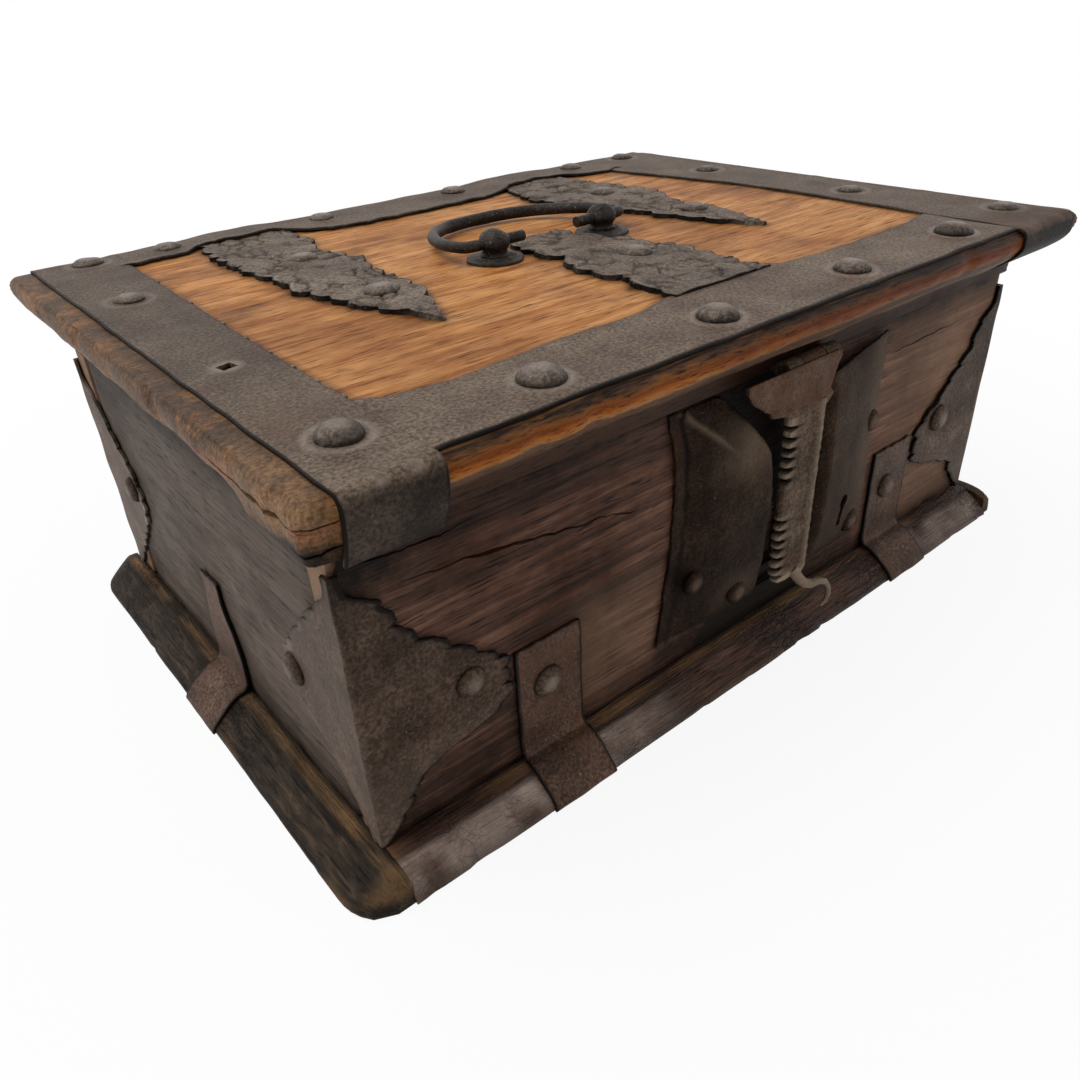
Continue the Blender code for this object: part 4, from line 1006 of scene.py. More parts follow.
lid_oak = old_oak(
    "waxed_lid_oak",
    "X",
    ((0.24, "#7a471c"), (0.38, "#a96c37"), (0.50, "#bf834b"), (0.62, "#cd945c"), (0.80, "#dcab74")),
    (("ends", "#584638"), ("rim", "#a07e5c"), ("hollow", "#1b110a")),
    streak="#63432b",
    roughness=0.5,
    relief=0.35,
    figure=(17, 150),
    gloss=0.08,
    soil_tone="#ab9482",
)
# The moulding is finished over that in bands by height, drawn out along the grain: a black
# line at its top, painted shadow under the strap's edge; the rubbed orange nose, with painted
# highlights and a pale painted highlight on its lower arris; and painted shade in the hollow
# below. End grain is in 1.5 mm dots.
tree = lid_oak.node_tree
tone = tree.nodes["Principled BSDF"].inputs["Base Color"]
spot = put(tree, "TexCoord", out="Object")
amber, on_front, on_ends = (
    put(tree, "Attribute", attribute_name=name, out="Fac") for name in ("amber", "front", "ends")
)
long_grain = put(tree, "Mapping", spot, Scale=(30, 420, 420))
shake = put(tree, "TexNoise", long_grain, Scale=1, Detail=4, Roughness=0.65)
fine_grain = put(tree, "Mapping", spot, Scale=(110, 900, 900))
flake = put(tree, "TexNoise", fine_grain, Scale=1, Detail=3, Roughness=0.7)
shaken = put(tree, "SeparateXYZ", spot, out="Z")
for grain, throw in ((shake, 0.0042), (flake, 0.0046)):
    shaken = put(tree, "Math", grain, throw, shaken, operation="MULTIPLY_ADD")
level = put(tree, "MapRange", shaken, 0.1644, 0.1844)
WOOD_LIGHT_AND_SHADE_BANDS = (
    (0.00, "#453024"), (0.22, "#573e31"), (0.40, "#68503f"), (0.51, "#6b4c36"), (0.55, "#a97f53"),
    (0.61, "#b06c2e"), (0.69, "#a0561f"), (0.77, "#7a3f19"), (0.83, "#8d5527"), (0.89, "#5f4029"),
    (0.95, "#2f1f17"), (1.00, "#0b0806"),
)
wood_light_and_shade_bands = put(tree, "ValToRGB", level, stops=WOOD_LIGHT_AND_SHADE_BANDS)
gaps = put(tree, "MapRange", flake, 0.55, 0.66, 0.0, 0.8)
unrubbed = put(tree, "Math", 1.0, amber, operation="SUBTRACT", use_clamp=True)
for mask, code in ((gaps, "#5a3a26"), (unrubbed, "#8a6f60")):
    wood_light_and_shade_bands = put(tree, "MixRGB", mask, wood_light_and_shade_bands, linear(code), blend_type="MULTIPLY")
colour = put(tree, "MixRGB", on_front, tone.links[0].from_socket, wood_light_and_shade_bands)
red_share = put(tree, "Math", on_ends, amber, operation="MULTIPLY")
colour = put(tree, "MixRGB", red_share, colour, linear("#8f6044"))
dots = put(tree, "TexNoise", spot, Scale=620, Detail=3, Roughness=0.7)
dot_tone = put(tree, "MapRange", dots, 0.36, 0.66, 0.50, 1.35)
colour = put(tree, "MixRGB", on_ends, colour, dot_tone, blend_type="MULTIPLY")
tree.links.new(colour, tone)
columns, rows = 150, 112
pick()
bpy.ops.mesh.primitive_grid_add(x_subdivisions=columns, y_subdivisions=rows, size=2)
lid = named("lid_top_board")
inmost = len(MOULDING) - 1
ROUND = 0.005
NOSE = 0.1742
for vert in lid.data.vertices:
    across = round((vert.co.x + 1) / 2 * columns)
    along = round((vert.co.y + 1) / 2 * rows)
    ring = min(across, columns - across, along, rows - along, inmost)
    share, z = MOULDING[ring]
    if 0.158 < z < NOSE:
        bluff = ease(across, 20, 15) * ease(along, 26, 18)
        share += ((1 - ((NOSE - z) / 0.030) ** 2) ** 0.45 - share) * bluff
    half_x, half_y = WALL_X + LID_OVER_X * share, WALL_Y + LID_OVER_Y * share
    x = half_x * (across - columns / 2) / (columns / 2 - ring)
    y = half_y * (along - rows / 2) / (rows / 2 - ring)
    over_x, over_y = abs(x) - (half_x - ROUND), abs(y) - (half_y - ROUND)
    if over_x > 0 and over_y > 0:
        pull = max(over_x, over_y) / math.hypot(over_x, over_y)
        x = math.copysign(half_x - ROUND + over_x * pull, x)
        y = math.copysign(half_y - ROUND + over_y * pull, y)
    point = Vector((x, y, z))
    if 0 < ring < inmost:
        chip = 0.006 * max(0.0, lumps(x, y, z * 0.5, 0.014) - 0.30) * (share > 0.8)
        inward = Vector((-x / half_x, -y / half_y, 0)).normalized()
        point += wander(point, 0.030, 0.0008) + wander(point, 0.008, 0.0004) + inward * chip
    vert.co = point
bpy.context.tool_settings.mesh_select_mode = (False, True, False)
bpy.ops.object.mode_set(mode="EDIT")
bpy.ops.mesh.select_all(action="DESELECT")
bpy.ops.mesh.select_non_manifold()
bpy.ops.mesh.edge_face_add()
bpy.ops.mesh.inset(thickness=0.003)
bpy.ops.object.mode_set(mode="OBJECT")
face_outward(lid)
for inward, width, depth, *path in (
    ((1, 0, 0), 1.4, 12, (-223.5, -170, 172.2), (-223.5, -135, 171.2), (-223.2, -95, 172.2)),
    ((1, 0, 0), 0.6, 5, (-223.5, -60, 170), (-223, 30, 169)),
    ((0.55, 0.83, 0), 1.3, 9, (-224.5, -154, 172), (-220.5, -162, 172.8), (-210, -165, 173.8)),
    ((0.55, 0.83, 0), 1.1, 8, (-223.5, -150, 164), (-218.5, -160.5, 163.2), (-210, -164, 165)),
):
    cut(lid, split(metres(*path), inward, width / 1000, depth / 1000))
strap_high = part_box("hasp_strap")[1]
cut_block(lid, (0.022, (strap_high.y - 0.150) / 2, LID_LOW), (0.0368, strap_high.y + 0.151, 0.0054))
cut_block(lid, (*LOST_NAIL, LID_HIGH), (0.0056, 0.0056, 0.012), (0, 0, 0.2))
mark(lid, hollow=lid_shade_and_smudges, ends=lid_ends, front=lid_front, amber=lid_amber, rim=lid_bare_and_lit)
smooth(lid, 45)
settle(lid, "lid", "lid_oak", lid_oak, "lid_board")

# Lid straps. A frame of thin sheet nailed round the top. The end straps run front to back and
# are beaten down over the front moulding as caps, the left one straight and the right one into
# its hollow; the back one lies over the hinges' roots, and one nail on the left is lost.
frame_finish = forged_iron(
    "lid_frame_iron",
    ((0.26, "#4d3f36"), (0.44, "#605146"), (0.58, "#6c5d4f"), (0.80, "#806f60")),
    "#6b4d39",
    rust_from=0.56,
    grit=0.45,
)
SHEET_TOP = LID_HIGH + 0.0014
lid_spots = metres(
    (-193, -131), (-122, -140), (-34, -140), (52, -141), (137, -140), (-192, 65), (-186, 148),
    (190, 64), (190, -46), (199, -133), (-145, 148), (-54, 146), (40, 146), (140, 146),
    (190, 146),
)


def nail_ring(x, y):
    """The pale ring that a nail has scraped on its strap, and the torn rim of the empty hole."""
    gap = min(math.dist((x, y), spot) for spot in lid_spots) - 0.0105
    hole = 0.7 * ease(math.dist((x, y), LOST_NAIL), 0.0075, 0.0045)
    return max(0.55 * max(0.0, 1 - abs(gap) / 0.0022), hole)


def edge_line(rows, side, stand, rise=0.0):
    """Rows of a moulding as (y, z), at the front (-1) or back (1), standing off the wood."""
    return [(side * (WALL_Y + LID_OVER_Y * share + stand), z + rise) for share, z in rows]


CAP_PATH = [(y, SHEET_TOP) for y in (0.1575, 0.05, -0.06, -0.1560)]
CAP_BEND = (
    (0.88, 0.1813), (0.94, 0.1803), (0.99, 0.1783), (1.005, 0.1755), (1.005, 0.1720),
    (0.985, 0.1675), (0.95, 0.1630), (0.90, 0.1590), (0.86, 0.1562),
)
LEFT_PATH = CAP_PATH + edge_line(CAP_BEND, -1, 0.0014)
RIGHT_PATH = CAP_PATH + edge_line(MOULDING[-2:-7:-1], -1, 0.0012, 0.0016)
RIGHT_PATH += edge_line(MOULDING[-7:-13:-1], -1, 0.0019)


def end_strap(name, outer, inner_table, path, seed):
    def place(u, v):
        y, z = along_path(path, (1 - v) / 2)
        inner = at(inner_table, y) + 0.0009 * lumps(y, seed, 0, 0.02)
        inner += 0.0005 * lumps(y, seed, 3, 0.005)
        edge = outer + 0.0007 * lumps(y, seed, 8, 0.02)
        x = between(edge, inner, u) if outer < 0 else between(inner, edge, u)
        z += 0.0005 * lumps(x, y, seed, 0.025)
        outward = u * math.copysign(1, outer)
        # Painted shadow along both edges, and painted shade where the strap is bent down over the
        # front moulding. The left strap is darker behind its front end, the right one all over and
        # most at its front.
        dark = 2.0 * ease(outward, 0.95, 1.0) + 0.5 * ease(-outward, 0.95, 1.0)
        if outer < 0:
            dark += 0.12 + 0.26 * ease(y, -0.120, -0.040) + 0.08 * ease(y, 0.0, 0.1)
        else:
            dark += 0.24 + 0.40 * ease(y, -0.125, -0.150)
        dark += 0.70 * ease(z, 0.1800, 0.1770)
        bent = 0.6 * hump(z, 0.1798, 0.0013) * (y < -0.150)
        bent *= ease(lumps(x, y, z, 0.007), -0.1, 0.3)
        return (x, y, z, dark, max(nail_ring(x, y), bent))

    return sheet(name, 30, 170, place, IRON_SHEET)


def cap_rust(x, y, z):
    """Rust on the right strap, where it nears the front and is bent down over it."""
    return max(1.2 * ease(z, 0.1806, 0.1790), 0.8 * ease(y, -0.130, -0.150))


left_strap = end_strap("frame_strap_left", -0.212, LEFT_INNER, LEFT_PATH, 1.0)
cut_block(left_strap, (*LOST_NAIL, LID_HIGH + 0.001), (0.0060, 0.0056, 0.02), (0, 0, 0.2))
settle(left_strap, "lid", "iron", frame_finish, "lid_strap_left")
right_strap = end_strap("frame_strap_right", 0.212, RIGHT_INNER, RIGHT_PATH, 2.0)
mark(right_strap, rust=cap_rust)
settle(right_strap, "lid", "iron", frame_finish, "lid_strap_right")


RAIL_MIDDLE, RAIL_HALF = -0.0060, 0.1715


def front_strap_place(u, v):
    x = RAIL_MIDDLE + u * RAIL_HALF
    inner = at(FRONT_INNER, x) + 0.0010 * lumps(x, 1, 0, 0.012)
    outer = -0.1588 + 0.0006 * lumps(x, 4, 0, 0.015)
    y = between(outer, inner, v)
    z = SHEET_TOP + 0.0005 * lumps(x, y, 6, 0.025) - 0.0006 * ease(abs(u), 0.97, 1.0)
    # Painted shadow along both edges.
    dark = 0.6 * ease(v, 0.93, 1.0) + 2.0 * ease(v, -0.94, -1.0)
    return (x, y, z, dark, nail_ring(x, y))


front_strap = sheet("frame_strap_front", 150, 20, front_strap_place, IRON_SHEET)
settle(front_strap, "lid", "iron", frame_finish, "lid_strap_front")


def back_strap_place(u, v):
    x = RAIL_MIDDLE + u * RAIL_HALF
    inner = at(BACK_INNER, x) + lobes(x, 0.021, 0.0028, 2.2) + 0.0010 * lumps(x, 3, 0, 0.006)
    y = between(inner, 0.1580, v)
    over = max(math.exp(-(((x + 0.109) / 0.027) ** 4)), math.exp(-(((x - 0.0900) / 0.031) ** 4)))
    z = SHEET_TOP + 0.0005 * lumps(x, y, 16, 0.02) + 0.0013 * over
    z += 0.0006 * ease(v, -0.5, -0.9) - 0.0006 * ease(abs(u), 0.97, 1.0)
    # Painted shadow along the inner edge, on a strap darker all over.
    return (x, y, z, 0.30 + 0.6 * ease(v, -0.90, -1.0))


back_strap = sheet("frame_strap_back", 170, 18, back_strap_place, IRON_SHEET)
settle(back_strap, "lid", "iron", frame_finish, "lid_strap_back")

# Hinge straps and the centre strap. Thicker bars, drawn out flat and chiselled along their edges
# into lobed leaves with shallow marks. The hinge straps pass under the back strap and over the
# lid's back edge to knuckles on the pins; the plain leaves on the back board stay as solids.
leaf_finish = forged_iron(
    "chiselled_leaf_iron",
    ((0.26, "#4d4139"), (0.44, "#62554b"), (0.58, "#716457"), (0.80, "#897b6e")),
    "#65503f",
    rust_from=0.60,
    grit=1.0,
)


LEAF_THICK = 0.0024


def leaf_strap(name, edges, seed, rows=150):
    """A lobed leaf between two edges, with chisel marks about 12 mm long on its face."""
    left_edge, right_edge = edges
    tip, root = left_edge[0][0], left_edge[-1][0]

    def place(u, v):
        y = between(tip, root, v)
        left, right = at(left_edge, y), at(right_edge, y)
        taper = ease(right - left, 0.002, 0.020)
        left_deep, right_deep = (0.0042 + 0.0030 * lumps(y, seed, row, 0.017) for row in (11, 13))
        left -= lobes(y, 0.0150, left_deep, seed) * taper
        right += lobes(y + 0.004, 0.0135, right_deep, seed + 2) * taper
        x = between(left, right, u)
        spot = Vector((x / 0.0090, y / 0.0125, seed))
        spot += 0.6 * noise.noise_vector(Vector((x / 0.02, y / 0.02, seed)))
        near = noise.voronoi(spot)[0]
        groove = ease(near[1] - near[0], 0.16, 0.04)
        groove *= ease(lumps(x, y, seed + 4, 0.012), -0.20, 0.1)
        z = LID_HIGH + LEAF_THICK - 0.0008 * groove - 0.0010 * ease(y, 0.104, 0.116)
        z += 0.0006 * lumps(x, y, seed, 0.011) + 0.0003 * lumps(x, y, seed, 0.004)
        # Painted shade in the chisel grooves and painted shadow along the lobed edges and the tip.
        edge = max(ease(abs(u), 0.955, 1.0), ease(v, -0.985, -1.0))
        pale_share = 0.5 * ease(abs(u), 0.86, 0.94) * ease(lumps(y, u, seed + 7, 0.015), 0.1, 0.3)
        return (x, y, z, max(0.75 * groove, 1.1 * edge * taper), pale_share * (1 - edge))

    return sheet(name, 60, rows, place, LEAF_THICK, soft=0.0)


def round_bar(name, line, radii, around, lean, uneven=0.0003):
    """Round bar along a line of points; lean is any direction that the line never takes."""
    rings = []
    for index, (point, radius) in enumerate(zip(line, radii)):
        run = (line[min(index + 1, len(line) - 1)] - line[max(index - 1, 0)]).normalized()
        side = run.cross(lean).normalized()
        rise = side.cross(run)
        ring = []
        for step in range(around):
            turn = math.tau * step / around
            spot = point + side * radius * math.cos(turn) + rise * radius * math.sin(turn)
            ring.append(spot + wander(spot, 0.006, uneven))
        rings.append(ring)
    made = loft(name, rings)
    smooth(made, 50)
    return made


def knuckle(name, middle, runs, radius):
    """A knuckle on a pin along X, through four places of which the outer two are its ends."""
    line = [middle + Vector((run, 0, 0)) for run in runs]
    return round_bar(name, line, (0.0036, radius, radius, 0.0036), 20, Vector((0, 0, 1)), 0.0)


WRAP_PATH = [(0.1482, 0.1507), (0.1506, 0.1565)]
WRAP_PATH += edge_line(MOULDING[6:13], 1, 0.0023, -0.0004)
WRAP_PATH += edge_line(MOULDING[13:16], 1, 0.0016, 0.0014)
WRAP_PATH += [(0.1560, LID_HIGH + 0.0021), (0.1480, LID_HIGH + 0.0018)]
HINGE_AXIS = Vector((0, 0.144, 0.1497))


def hinge_root(name, x):
    """The root of a hinge strap: over the lid's back edge and down to two knuckles."""

    def place(u, v):
        y, z = along_path(WRAP_PATH, (v + 1) / 2)
        # Painted shadow along the edges.
        return (x - u * 0.0172, y + 0.0002 * lumps(u, z, x, 0.01), z, 0.4 * ease(abs(u), 0.9, 1.0))

    wrap = sheet(name, 14, 40, place, 0.0018)
    middle = HINGE_AXIS + Vector((x, 0, 0))
    cut_block(wrap, middle, (0.0168, 0.0106, 0.0106))
    parts = [wrap]
    for side in (-1, 1):
        runs = [side * run for run in (0.0084, 0.0088, 0.0170, 0.0174)]
        parts.append(knuckle("knuckle", middle, runs, 0.0041))
    return parts


for name, edges, seed, x in (("left", LEFT_LEAF, 0.7, -0.1089), ("right", RIGHT_LEAF, 5.2, 0.0965)):
    pieces = [leaf_strap("leaf", edges, seed)] + hinge_root("wrap", x)
    hinge = join("hinge_leaf_strap_" + name, pieces)
    settle(hinge, "lid", "iron", leaf_finish, "hinge_strap_" + name)
    paint(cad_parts["hinge_leaf_" + name], leaf_finish)
centre_leaf = leaf_strap("leaf_strap_centre", CENTRE_LEAF, 9.4, rows=110)
settle(centre_leaf, "lid", "iron", leaf_finish, "lid_strap_centre")

# Handle. Two eye posts driven through round roses into the lid, and a bail forged from round
# bar, a little thicker in the middle, whose ends turn in through the eyes. Hands have kept
# it black.
HANDLE = Vector((-0.004, -0.004, 0.1885))
handle_finish = forged_iron(
    "hand_blackened_iron",
    ((0.28, "#1d1916"), (0.46, "#2b2622"), (0.60, "#3a332e"), (0.80, "#5d544d")),
    "#45342a",
    rust_from=0.62,
    grit=0.5,
    roughness=0.45,
)


def turned(name, middle, profile, around, seed, uneven):
    """A round forged piece about Z: its profile is (radius, height) from the foot up."""
    rings = []
    for radius, height in profile:
        ring = []
        for step in range(around):
            turn = math.tau * step / around
            point = Vector((radius * math.cos(turn), radius * math.sin(turn), height))
            point += wander(point + Vector((seed, 0, 0)), 0.006, uneven) * min(1.0, radius / 0.003)
            ring.append(point + Vector(middle))
        rings.append(ring)
    made = loft(name, rings)
    smooth(made, 45)
    return made


POST_PROFILE = metres(
    (3.6, 160), (3.8, 181.8), (7, 182.2), (7.4, 183.2), (6.2, 184.2), (6.2, 185.4), (7.4, 186.8),
    (8, 188.5), (7.7, 190.2), (6.6, 192), (4.8, 193.6), (2.6, 194.5), (0.6, 194.8),
)
ROSE_PROFILE = metres(
    (4.2, 180.1), (13.5, 180.1), (14.1, 180.5), (13.8, 181.4), (11.2, 181.7), (10.2, 182.4),
    (8, 182.7), (4.2, 182.6),
)
for name, x in (("left", HANDLE.x - 0.035), ("right", HANDLE.x + 0.035)):
    post = turned("eye_post_" + name, (x, HANDLE.y, 0), POST_PROFILE, 22, x * 90, 0.0008)
    settle(post, "lid", "iron", handle_finish, "handle_post_" + name)
    rose = turned("post_rose_" + name, (x, HANDLE.y, 0), ROSE_PROFILE, 28, x * 50, 0.0007)
    settle(rose, "lid", "iron", handle_finish, "handle_rose_" + name)
BAIL_REACH, BAIL_HALF, BEND = 0.062, 0.052, 0.008
half_line = [(0.0175, 0.0), (0.026, 0.0), (0.035, 0.0), (0.0425, 0.0)]
for angle in (-65, -40, -15):
    turn = math.radians(angle)
    bend_x = BAIL_HALF - BEND + BEND * math.cos(turn)
    half_line.append((bend_x, BEND + BEND * math.sin(turn)))
for angle in range(4, 89, 4):
    turn = math.radians(angle)
    rise = (BAIL_REACH - BEND) * math.sin(turn)
    half_line.append((BAIL_HALF * math.cos(turn) ** 0.8, BEND + rise))
flat_line = [(-x, out) for x, out in half_line] + [(0.0, BAIL_REACH)] + half_line[::-1]
seat = Matrix.Translation(HANDLE) @ Matrix.Rotation(math.radians(-4), 4, "X")
line = [seat @ Vector((x, out, 0)) for x, out in flat_line]
radii = [0.0027 + 0.0005 * out / BAIL_REACH for x, out in flat_line]
bail = round_bar("bail_forged", line, radii, 18, seat.to_3x3() @ Vector((0, 0, 1)))
settle(bail, "handle", "iron", handle_finish, "bail_handle")

# Hasp. A broad rusty head, rolled over a knuckle under the lid's edge, and a long bar filed
# with two groups of notches down its left side, with a thin tail curled to lift it by.
HASP_X = 0.022
HASP_BACK = -WALL_Y - 0.0085
HASP_AXIS = Vector((HASP_X, -0.145, 0.1493))
hasp_finish = forged_iron(
    "rusty_hasp_iron",
    ((0.28, "#33261e"), (0.46, "#4f3f33"), (0.60, "#655445"), (0.80, "#927f6d")),
    "#54311a",
    rust_from=0.52,
    grit=1.0,
    pale="#b3a08a",
)


NOTCHED = ((0.0940, 0.1252), (0.0400, 0.0764))


def notch_depth(z):
    """How deep the file has cut the bar's left side at a height."""
    for low, high in NOTCHED:
        if low < z < high:
            return 0.0050 * ease(math.sin(math.tau * (z - low) / 0.0052), -0.1, 0.45)
    return 0.0


BAR_LOW, BAR_LENGTH, BAR_STEPS = 0.0380, 0.0930, 185
rings = []
for index in range(BAR_STEPS + 1):
    z = BAR_LOW + BAR_LENGTH * index / BAR_STEPS
    foot = ease(z, 0.0425, BAR_LOW)
    left = HASP_X - 0.0130 + notch_depth(z) + 0.003 * foot**2 + 0.0004 * lumps(z, 1, 0, 0.01)
    right = HASP_X + 0.0115 - 0.003 * foot**2 + 0.0005 * lumps(z, 3, 0, 0.012)
    face = HASP_BACK - 0.0046 + 0.0004 * lumps(z, 7, 0, 0.009)
    wide = right - left
    outline = (
        (left + 0.0006, HASP_BACK), (left, HASP_BACK - 0.0010), (left, HASP_BACK - 0.0030),
        (left + 0.0008, face + 0.0004), (left + wide * 0.30, face - 0.0002),
        (left + wide * 0.52, face + 0.0003 * lumps(z, 9, 0, 0.004)),
        (left + wide * 0.72, face - 0.0003), (left + wide * 0.82, face - 0.0014),
        (left + wide * 0.92, face - 0.0012), (right - 0.0002, face + 0.0006),
        (right, HASP_BACK - 0.0012), (right - 0.0006, HASP_BACK), (left + wide * 0.5, HASP_BACK),
    )
    rings.append([(x, y, z) for x, y in outline])
bar = loft("hasp_bar", rings)


# Painted shade in the notches filed into the bar.
def notch_shade(x, y, z):
    return ease(notch_depth(z), 0.001, 0.003) * ease(x, HASP_X - 0.0060, HASP_X - 0.0078)


def rubbed_edges(x, y, z):
    """Bright tips of the teeth, the raised ridge at the right, and the bar's foot."""
    tooth = ease(notch_depth(z), 0.002, 0.0) * ease(x, HASP_X - 0.0105, HASP_X - 0.0125)
    tooth *= 0.55 * (z < NOTCHED[1][1] or z > NOTCHED[0][0])
    ridge = 0.5 * hump(x, HASP_X + 0.0085, 0.0016)
    return max(tooth, ridge, 0.6 * ease(z, 0.0440, 0.0400))


mark(bar, hollow=notch_shade, rim=rubbed_edges)
smooth(bar, 35)
HEAD_LEFT = metres(
    (127, 8.5), (129.5, 3.5), (131.2, -5), (134, -6.2), (136.2, -11), (138.5, -13.5),
    (142, -19.5), (145, -21.5), (148, -24.5), (154.5, -25),
)
HEAD_RIGHT = metres(
    (127, 34), (131, 38.5), (133.5, 36.2), (140, 36.8), (146, 38.5), (154.5, 38.5),
)
HEAD_PATH = [(HASP_BACK - out, z) for out, z in metres((4.4, 127), (4.6, 140), (5.2, 145.5))]
ROLL = 0.0057
for turn in (math.radians(angle) for angle in range(-8, 25, 8)):
    HEAD_PATH.append((HASP_AXIS.y - ROLL * math.cos(turn), HASP_AXIS.z + ROLL * math.sin(turn)))


def head_place(u, v):
    y, z = along_path(HEAD_PATH, (v + 1) / 2)
    left = at(HEAD_LEFT, z) + 0.0009 * lumps(z, 2, 0, 0.005)
    right = at(HEAD_RIGHT, z) + 0.0008 * lumps(z, 5, 0, 0.005)
    x = between(left, right, u)
    bulge = 0.0010 * (1 - u * u) + 0.0008 * lumps(x, z, 3, 0.007)
    # Painted shadow along the head's left edge.
    return (x, y - bulge * ease(z, 0.150, 0.144), z, 0.5 * ease(-u, 0.93, 1.0))


head = sheet("hasp_head", 50, 34, head_place, 0.0020, soft=0.0005)
mark(head, rust=lambda x, y, z: 0.55 * ease(z, 0.128, 0.134))
hasp_knuckle = knuckle("hasp_knuckle", HASP_AXIS, (-0.0080, -0.0076, 0.0076, 0.0080), 0.0042)
mark(hasp_knuckle, rust=lambda x, y, z: 0.8)
TAIL = metres(
    (24.5, -148, 40.5), (26.8, -151.3, 35.2), (30, -152.7, 31.7), (33.8, -153.8, 30.3),
    (38.5, -155, 30.4), (42.8, -156, 28.6), (45, -156.8, 24.8), (45.2, -157.4, 20.6),
    (43, -157.7, 17.4), (39.4, -157.6, 15.8),
)
radii = [0.0030, 0.0028, 0.0026, 0.0024, 0.0020, 0.0017, 0.0015, 0.0014, 0.0012, 0.0007]
line = [Vector(point) for point in TAIL]
tail = round_bar("hasp_tail", line, radii, 12, Vector((0, -1, 0)), 0.0002)
mark(tail, rim=lambda x, y, z: 0.45)
hasp = join("hasp_filed", [bar, head, hasp_knuckle, tail])
settle(hasp, "hasp", "rusty_iron", hasp_finish, "hasp")
paint(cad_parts["hasp_strap"], hasp_finish)

# Nails. Big domed heads, beaten a little uneven, over the whole of the ironwork, and small
# dark pins along the inner edge of the left strap.
nail_finish = forged_iron(
    "domed_nail_iron",
    ((0.28, "#3b322b"), (0.46, "#554a42"), (0.60, "#695e55"), (0.80, "#91867c")),
    "#5c4536",
    rust_from=0.58,
    grit=0.6,
    roughness=0.45,
)
DOME = (
    (0.94, -0.28), (1.00, -0.06), (1.00, 0.14), (0.93, 0.42), (0.80, 0.66), (0.62, 0.83),
    (0.40, 0.94), (0.18, 0.99), (0.03, 1.00),
)


def nails(name, body, places, nodes, radius, rise, finish=nail_finish):
    """Domed heads at (place, outward) pairs: one is forged, and the others are beaten copies.

    The radius and the rise are in millimetres.
    """
    radius, rise = radius / 1000, rise / 1000
    first = turned("nail", (0, 0, 0), [(radius * out, rise * up) for out, up in DOME], 24, 1.5, 0.0)
    # Painted shade round the foot of each dome and a painted highlight on its crown.
    mark(
        first,
        hollow=lambda x, y, z: 0.8 * ease(z, 0.55 * rise, 0.10 * rise),
        rim=lambda x, y, z: 0.45 * ease(z, 0.80 * rise, rise),
    )
    heads = []
    for index, (place, outward) in enumerate(places):
        head = first.copy()
        head.data = first.data.copy()
        bpy.context.collection.objects.link(head)
        swell = 0.92 + 0.016 * (index * 37 % 10)
        turn = Vector((0, 0, 1)).rotation_difference(Vector(outward)).to_matrix().to_4x4()
        for vert in head.data.vertices:
            vert.co *= swell
            vert.co += wander(vert.co + Vector((index, 0, 0)), 0.6 * radius, 0.05 * radius)
        head.data.transform(Matrix.Translation(place) @ turn)
        heads.append(head)
    bpy.data.objects.remove(first, do_unlink=True)
    made = join(name, heads)
    smooth(made, 45)
    settle(made, body, "iron", finish, *nodes)


UP, AHEAD, BEHIND, LEFT, RIGHT = (0, 0, 1), (0, -1, 0), (0, 1, 0), (-1, 0, 0), (1, 0, 0)
leaf_spots = metres((-106, 65), (-107, -12), (94, 63), (96, -10), (9, -51.5))
strap_places = [((x, y, SHEET_TOP), UP) for x, y in lid_spots]
leaf_places = [((x, y, LID_HIGH + 0.0020), UP) for x, y in leaf_spots]
front_nodes = ["nail_front_" + str(k) for k in range(1, 6)]
leaf_nodes = ["nail_hinge_left", "nail_hinge_right", "nail_centre"]
nails("nails_on_lid_front", "lid", strap_places[:5], front_nodes, 8.6, 4.6)
nails("nails_on_lid_rim", "lid", strap_places[5:], ["nail_left", "nail_right"], 7.4, 2.7)
nails("nails_on_leaves", "lid", leaf_places, leaf_nodes, 7.8, 3.0)
FACE_Y, FACE_X = WALL_Y + 0.0021, WALL_X + 0.0021
box_places = []
for y, facing, *spots in (
    (-FACE_Y, AHEAD, (-161.5, 71), (164, 74), (-125, 50), (119, 48)),
    (FACE_Y, BEHIND, (-161, 72), (162, 74), (-121, 49), (122, 50)),
    (FACE_Y + 0.0002, BEHIND, (-109, 122), (-109, 98), (96.5, 122), (96.5, 98)),
):
    box_places += [((x, y, z), facing) for x, z in metres(*spots)]
for x, facing, *spots in (
    (-FACE_X, LEFT, (-90, 75), (94, 80)),
    (FACE_X, RIGHT, (-92, 76), (93, 77), (1, 56)),
):
    box_places += [((x, y, z), facing) for y, z in metres(*spots)]
box_nodes = ["nail_corner_left", "nail_corner_right", "nail_base_left", "nail_base_right"]
nails("nails_on_box", "box", box_places, box_nodes, 7.4, 3.6, corner_finish)
plate_places = []
for x, z in metres((86, 99), (79, 44), (-14, 44), (-41, 60)):
    plate_places.append(((x, -WALL_Y - plate_height(x, z) + 0.0004, z), AHEAD))
nails("nails_on_lock_plate", "box", plate_places, [], 6.4, 3.0, plate_finish)
pin_spots = metres(
    (-171.8, 88), (-173.5, 41), (-174.8, 2), (-175.5, -22.5), (-176, -45), (-176.3, -65.5),
    (-176.5, -84), (-176.5, -103),
)
pin_places = [((x, y, SHEET_TOP - 0.0012), UP) for x, y in pin_spots]
nails("pins_on_left_strap", "lid", pin_places, [], 1.4, 1.0)

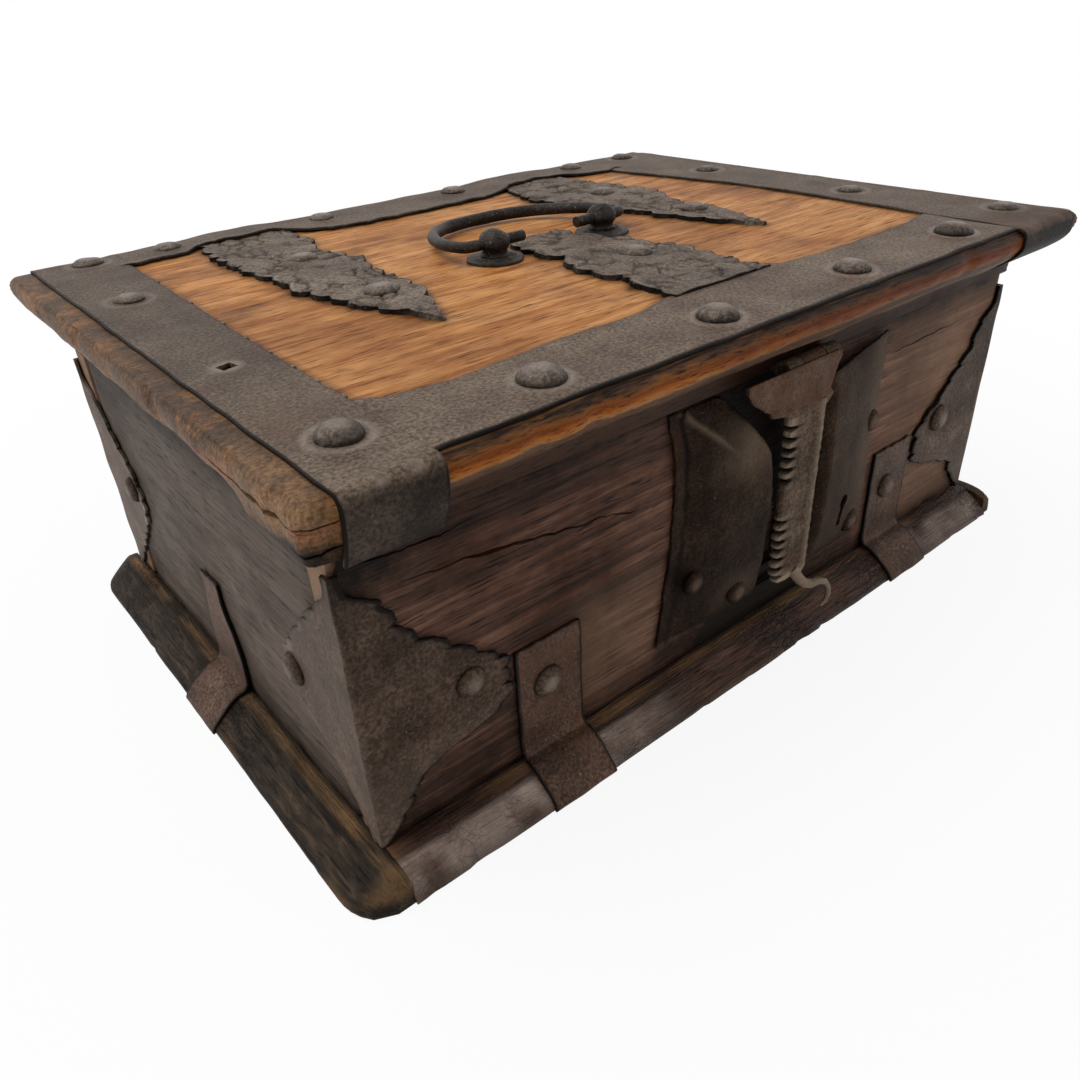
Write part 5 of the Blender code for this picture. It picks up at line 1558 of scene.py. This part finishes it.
# Studio. A white floor that fades into a white surround, and three soft lamps: a broad one
# above, one at the left, and a weak one at the front right, so the front lies in half shade.
# The camera stands at the front left corner, a little above the lid.
pick()
bpy.ops.mesh.primitive_plane_add(size=60, location=(0, 0, -0.0004))
floor = named("studio_floor")
floor_paint, floor_tree, floor_shader = start_material("white_floor", 0.9)
floor_shader.inputs["Base Color"].default_value = linear("#f0f0f0")


def seen_rays(tree):
    """1 for what the camera sees, straight or through a reflection or glass."""
    seen = put(tree, "LightPath", out="Is Camera Ray")
    for kind in ("Transmission", "Glossy"):
        ray = put(tree, "LightPath", out="Is " + kind + " Ray")
        seen = put(tree, "Math", seen, ray, operation="MAXIMUM")
    return seen


spot = put(floor_tree, "TexCoord", out="Object")
far = put(floor_tree, "VectorMath", spot, operation="LENGTH", out="Value")
fade = put(floor_tree, "MapRange", far, 0.15, 0.60, 0.90, 1.0)
share = put(floor_tree, "Math", seen_rays(floor_tree), fade, operation="MULTIPLY")
white = put(floor_tree, "Emission", (1, 1, 1, 1), 1.0)
blend = put(floor_tree, "MixShader", share, floor_shader.outputs[0], white)
floor_tree.links.new(blend, floor_tree.nodes["Material Output"].inputs["Surface"])
floor.data.materials.append(floor_paint)
world = bpy.data.worlds.new("white_surround")
bpy.context.scene.world = world
world.use_nodes = True
sky = world.node_tree
sky_light = sky.nodes["Background"]
sky_light.inputs["Color"].default_value = (1, 1, 1, 1)
sky_light.inputs["Strength"].default_value = 0.32
sky_white = put(sky, "Background", (1, 1, 1, 1), 1.0)
sky_mix = put(sky, "MixShader", seen_rays(sky), sky_light.outputs[0], sky_white)
sky.links.new(sky_mix, sky.nodes["World Output"].inputs["Surface"])


def lamp(name, place, toward, size, watts):
    bpy.ops.object.light_add(type="AREA", location=place)
    made = named(name)
    made.data.size = size
    made.data.energy = watts
    made.rotation_euler = (Vector(toward) - Vector(place)).to_track_quat("-Z", "Y").to_euler()


lamp("broad_lamp_above", (-0.45, 0.35, 1.35), (0, 0, 0.1), 1.0, 11.0)
lamp("soft_lamp_left", (-1.30, 0.10, 0.75), (-0.1, 0, 0.1), 0.8, 3.5)
lamp("weak_lamp_right", (1.10, -0.95, 0.70), (0.1, -0.1, 0.1), 0.7, 2.4)
bpy.ops.object.camera_add(
    location=(-0.2958, -0.3587, 0.2936),
    rotation=[math.radians(angle) for angle in (57.806, 2.641, -39.433)],
)
camera = named("photo_camera")
camera.data.lens = 29.63
camera.data.sensor_width = 36.0
camera.data.clip_start = 0.01
bpy.context.scene.camera = camera
bpy.context.scene.view_settings.view_transform = "Standard"
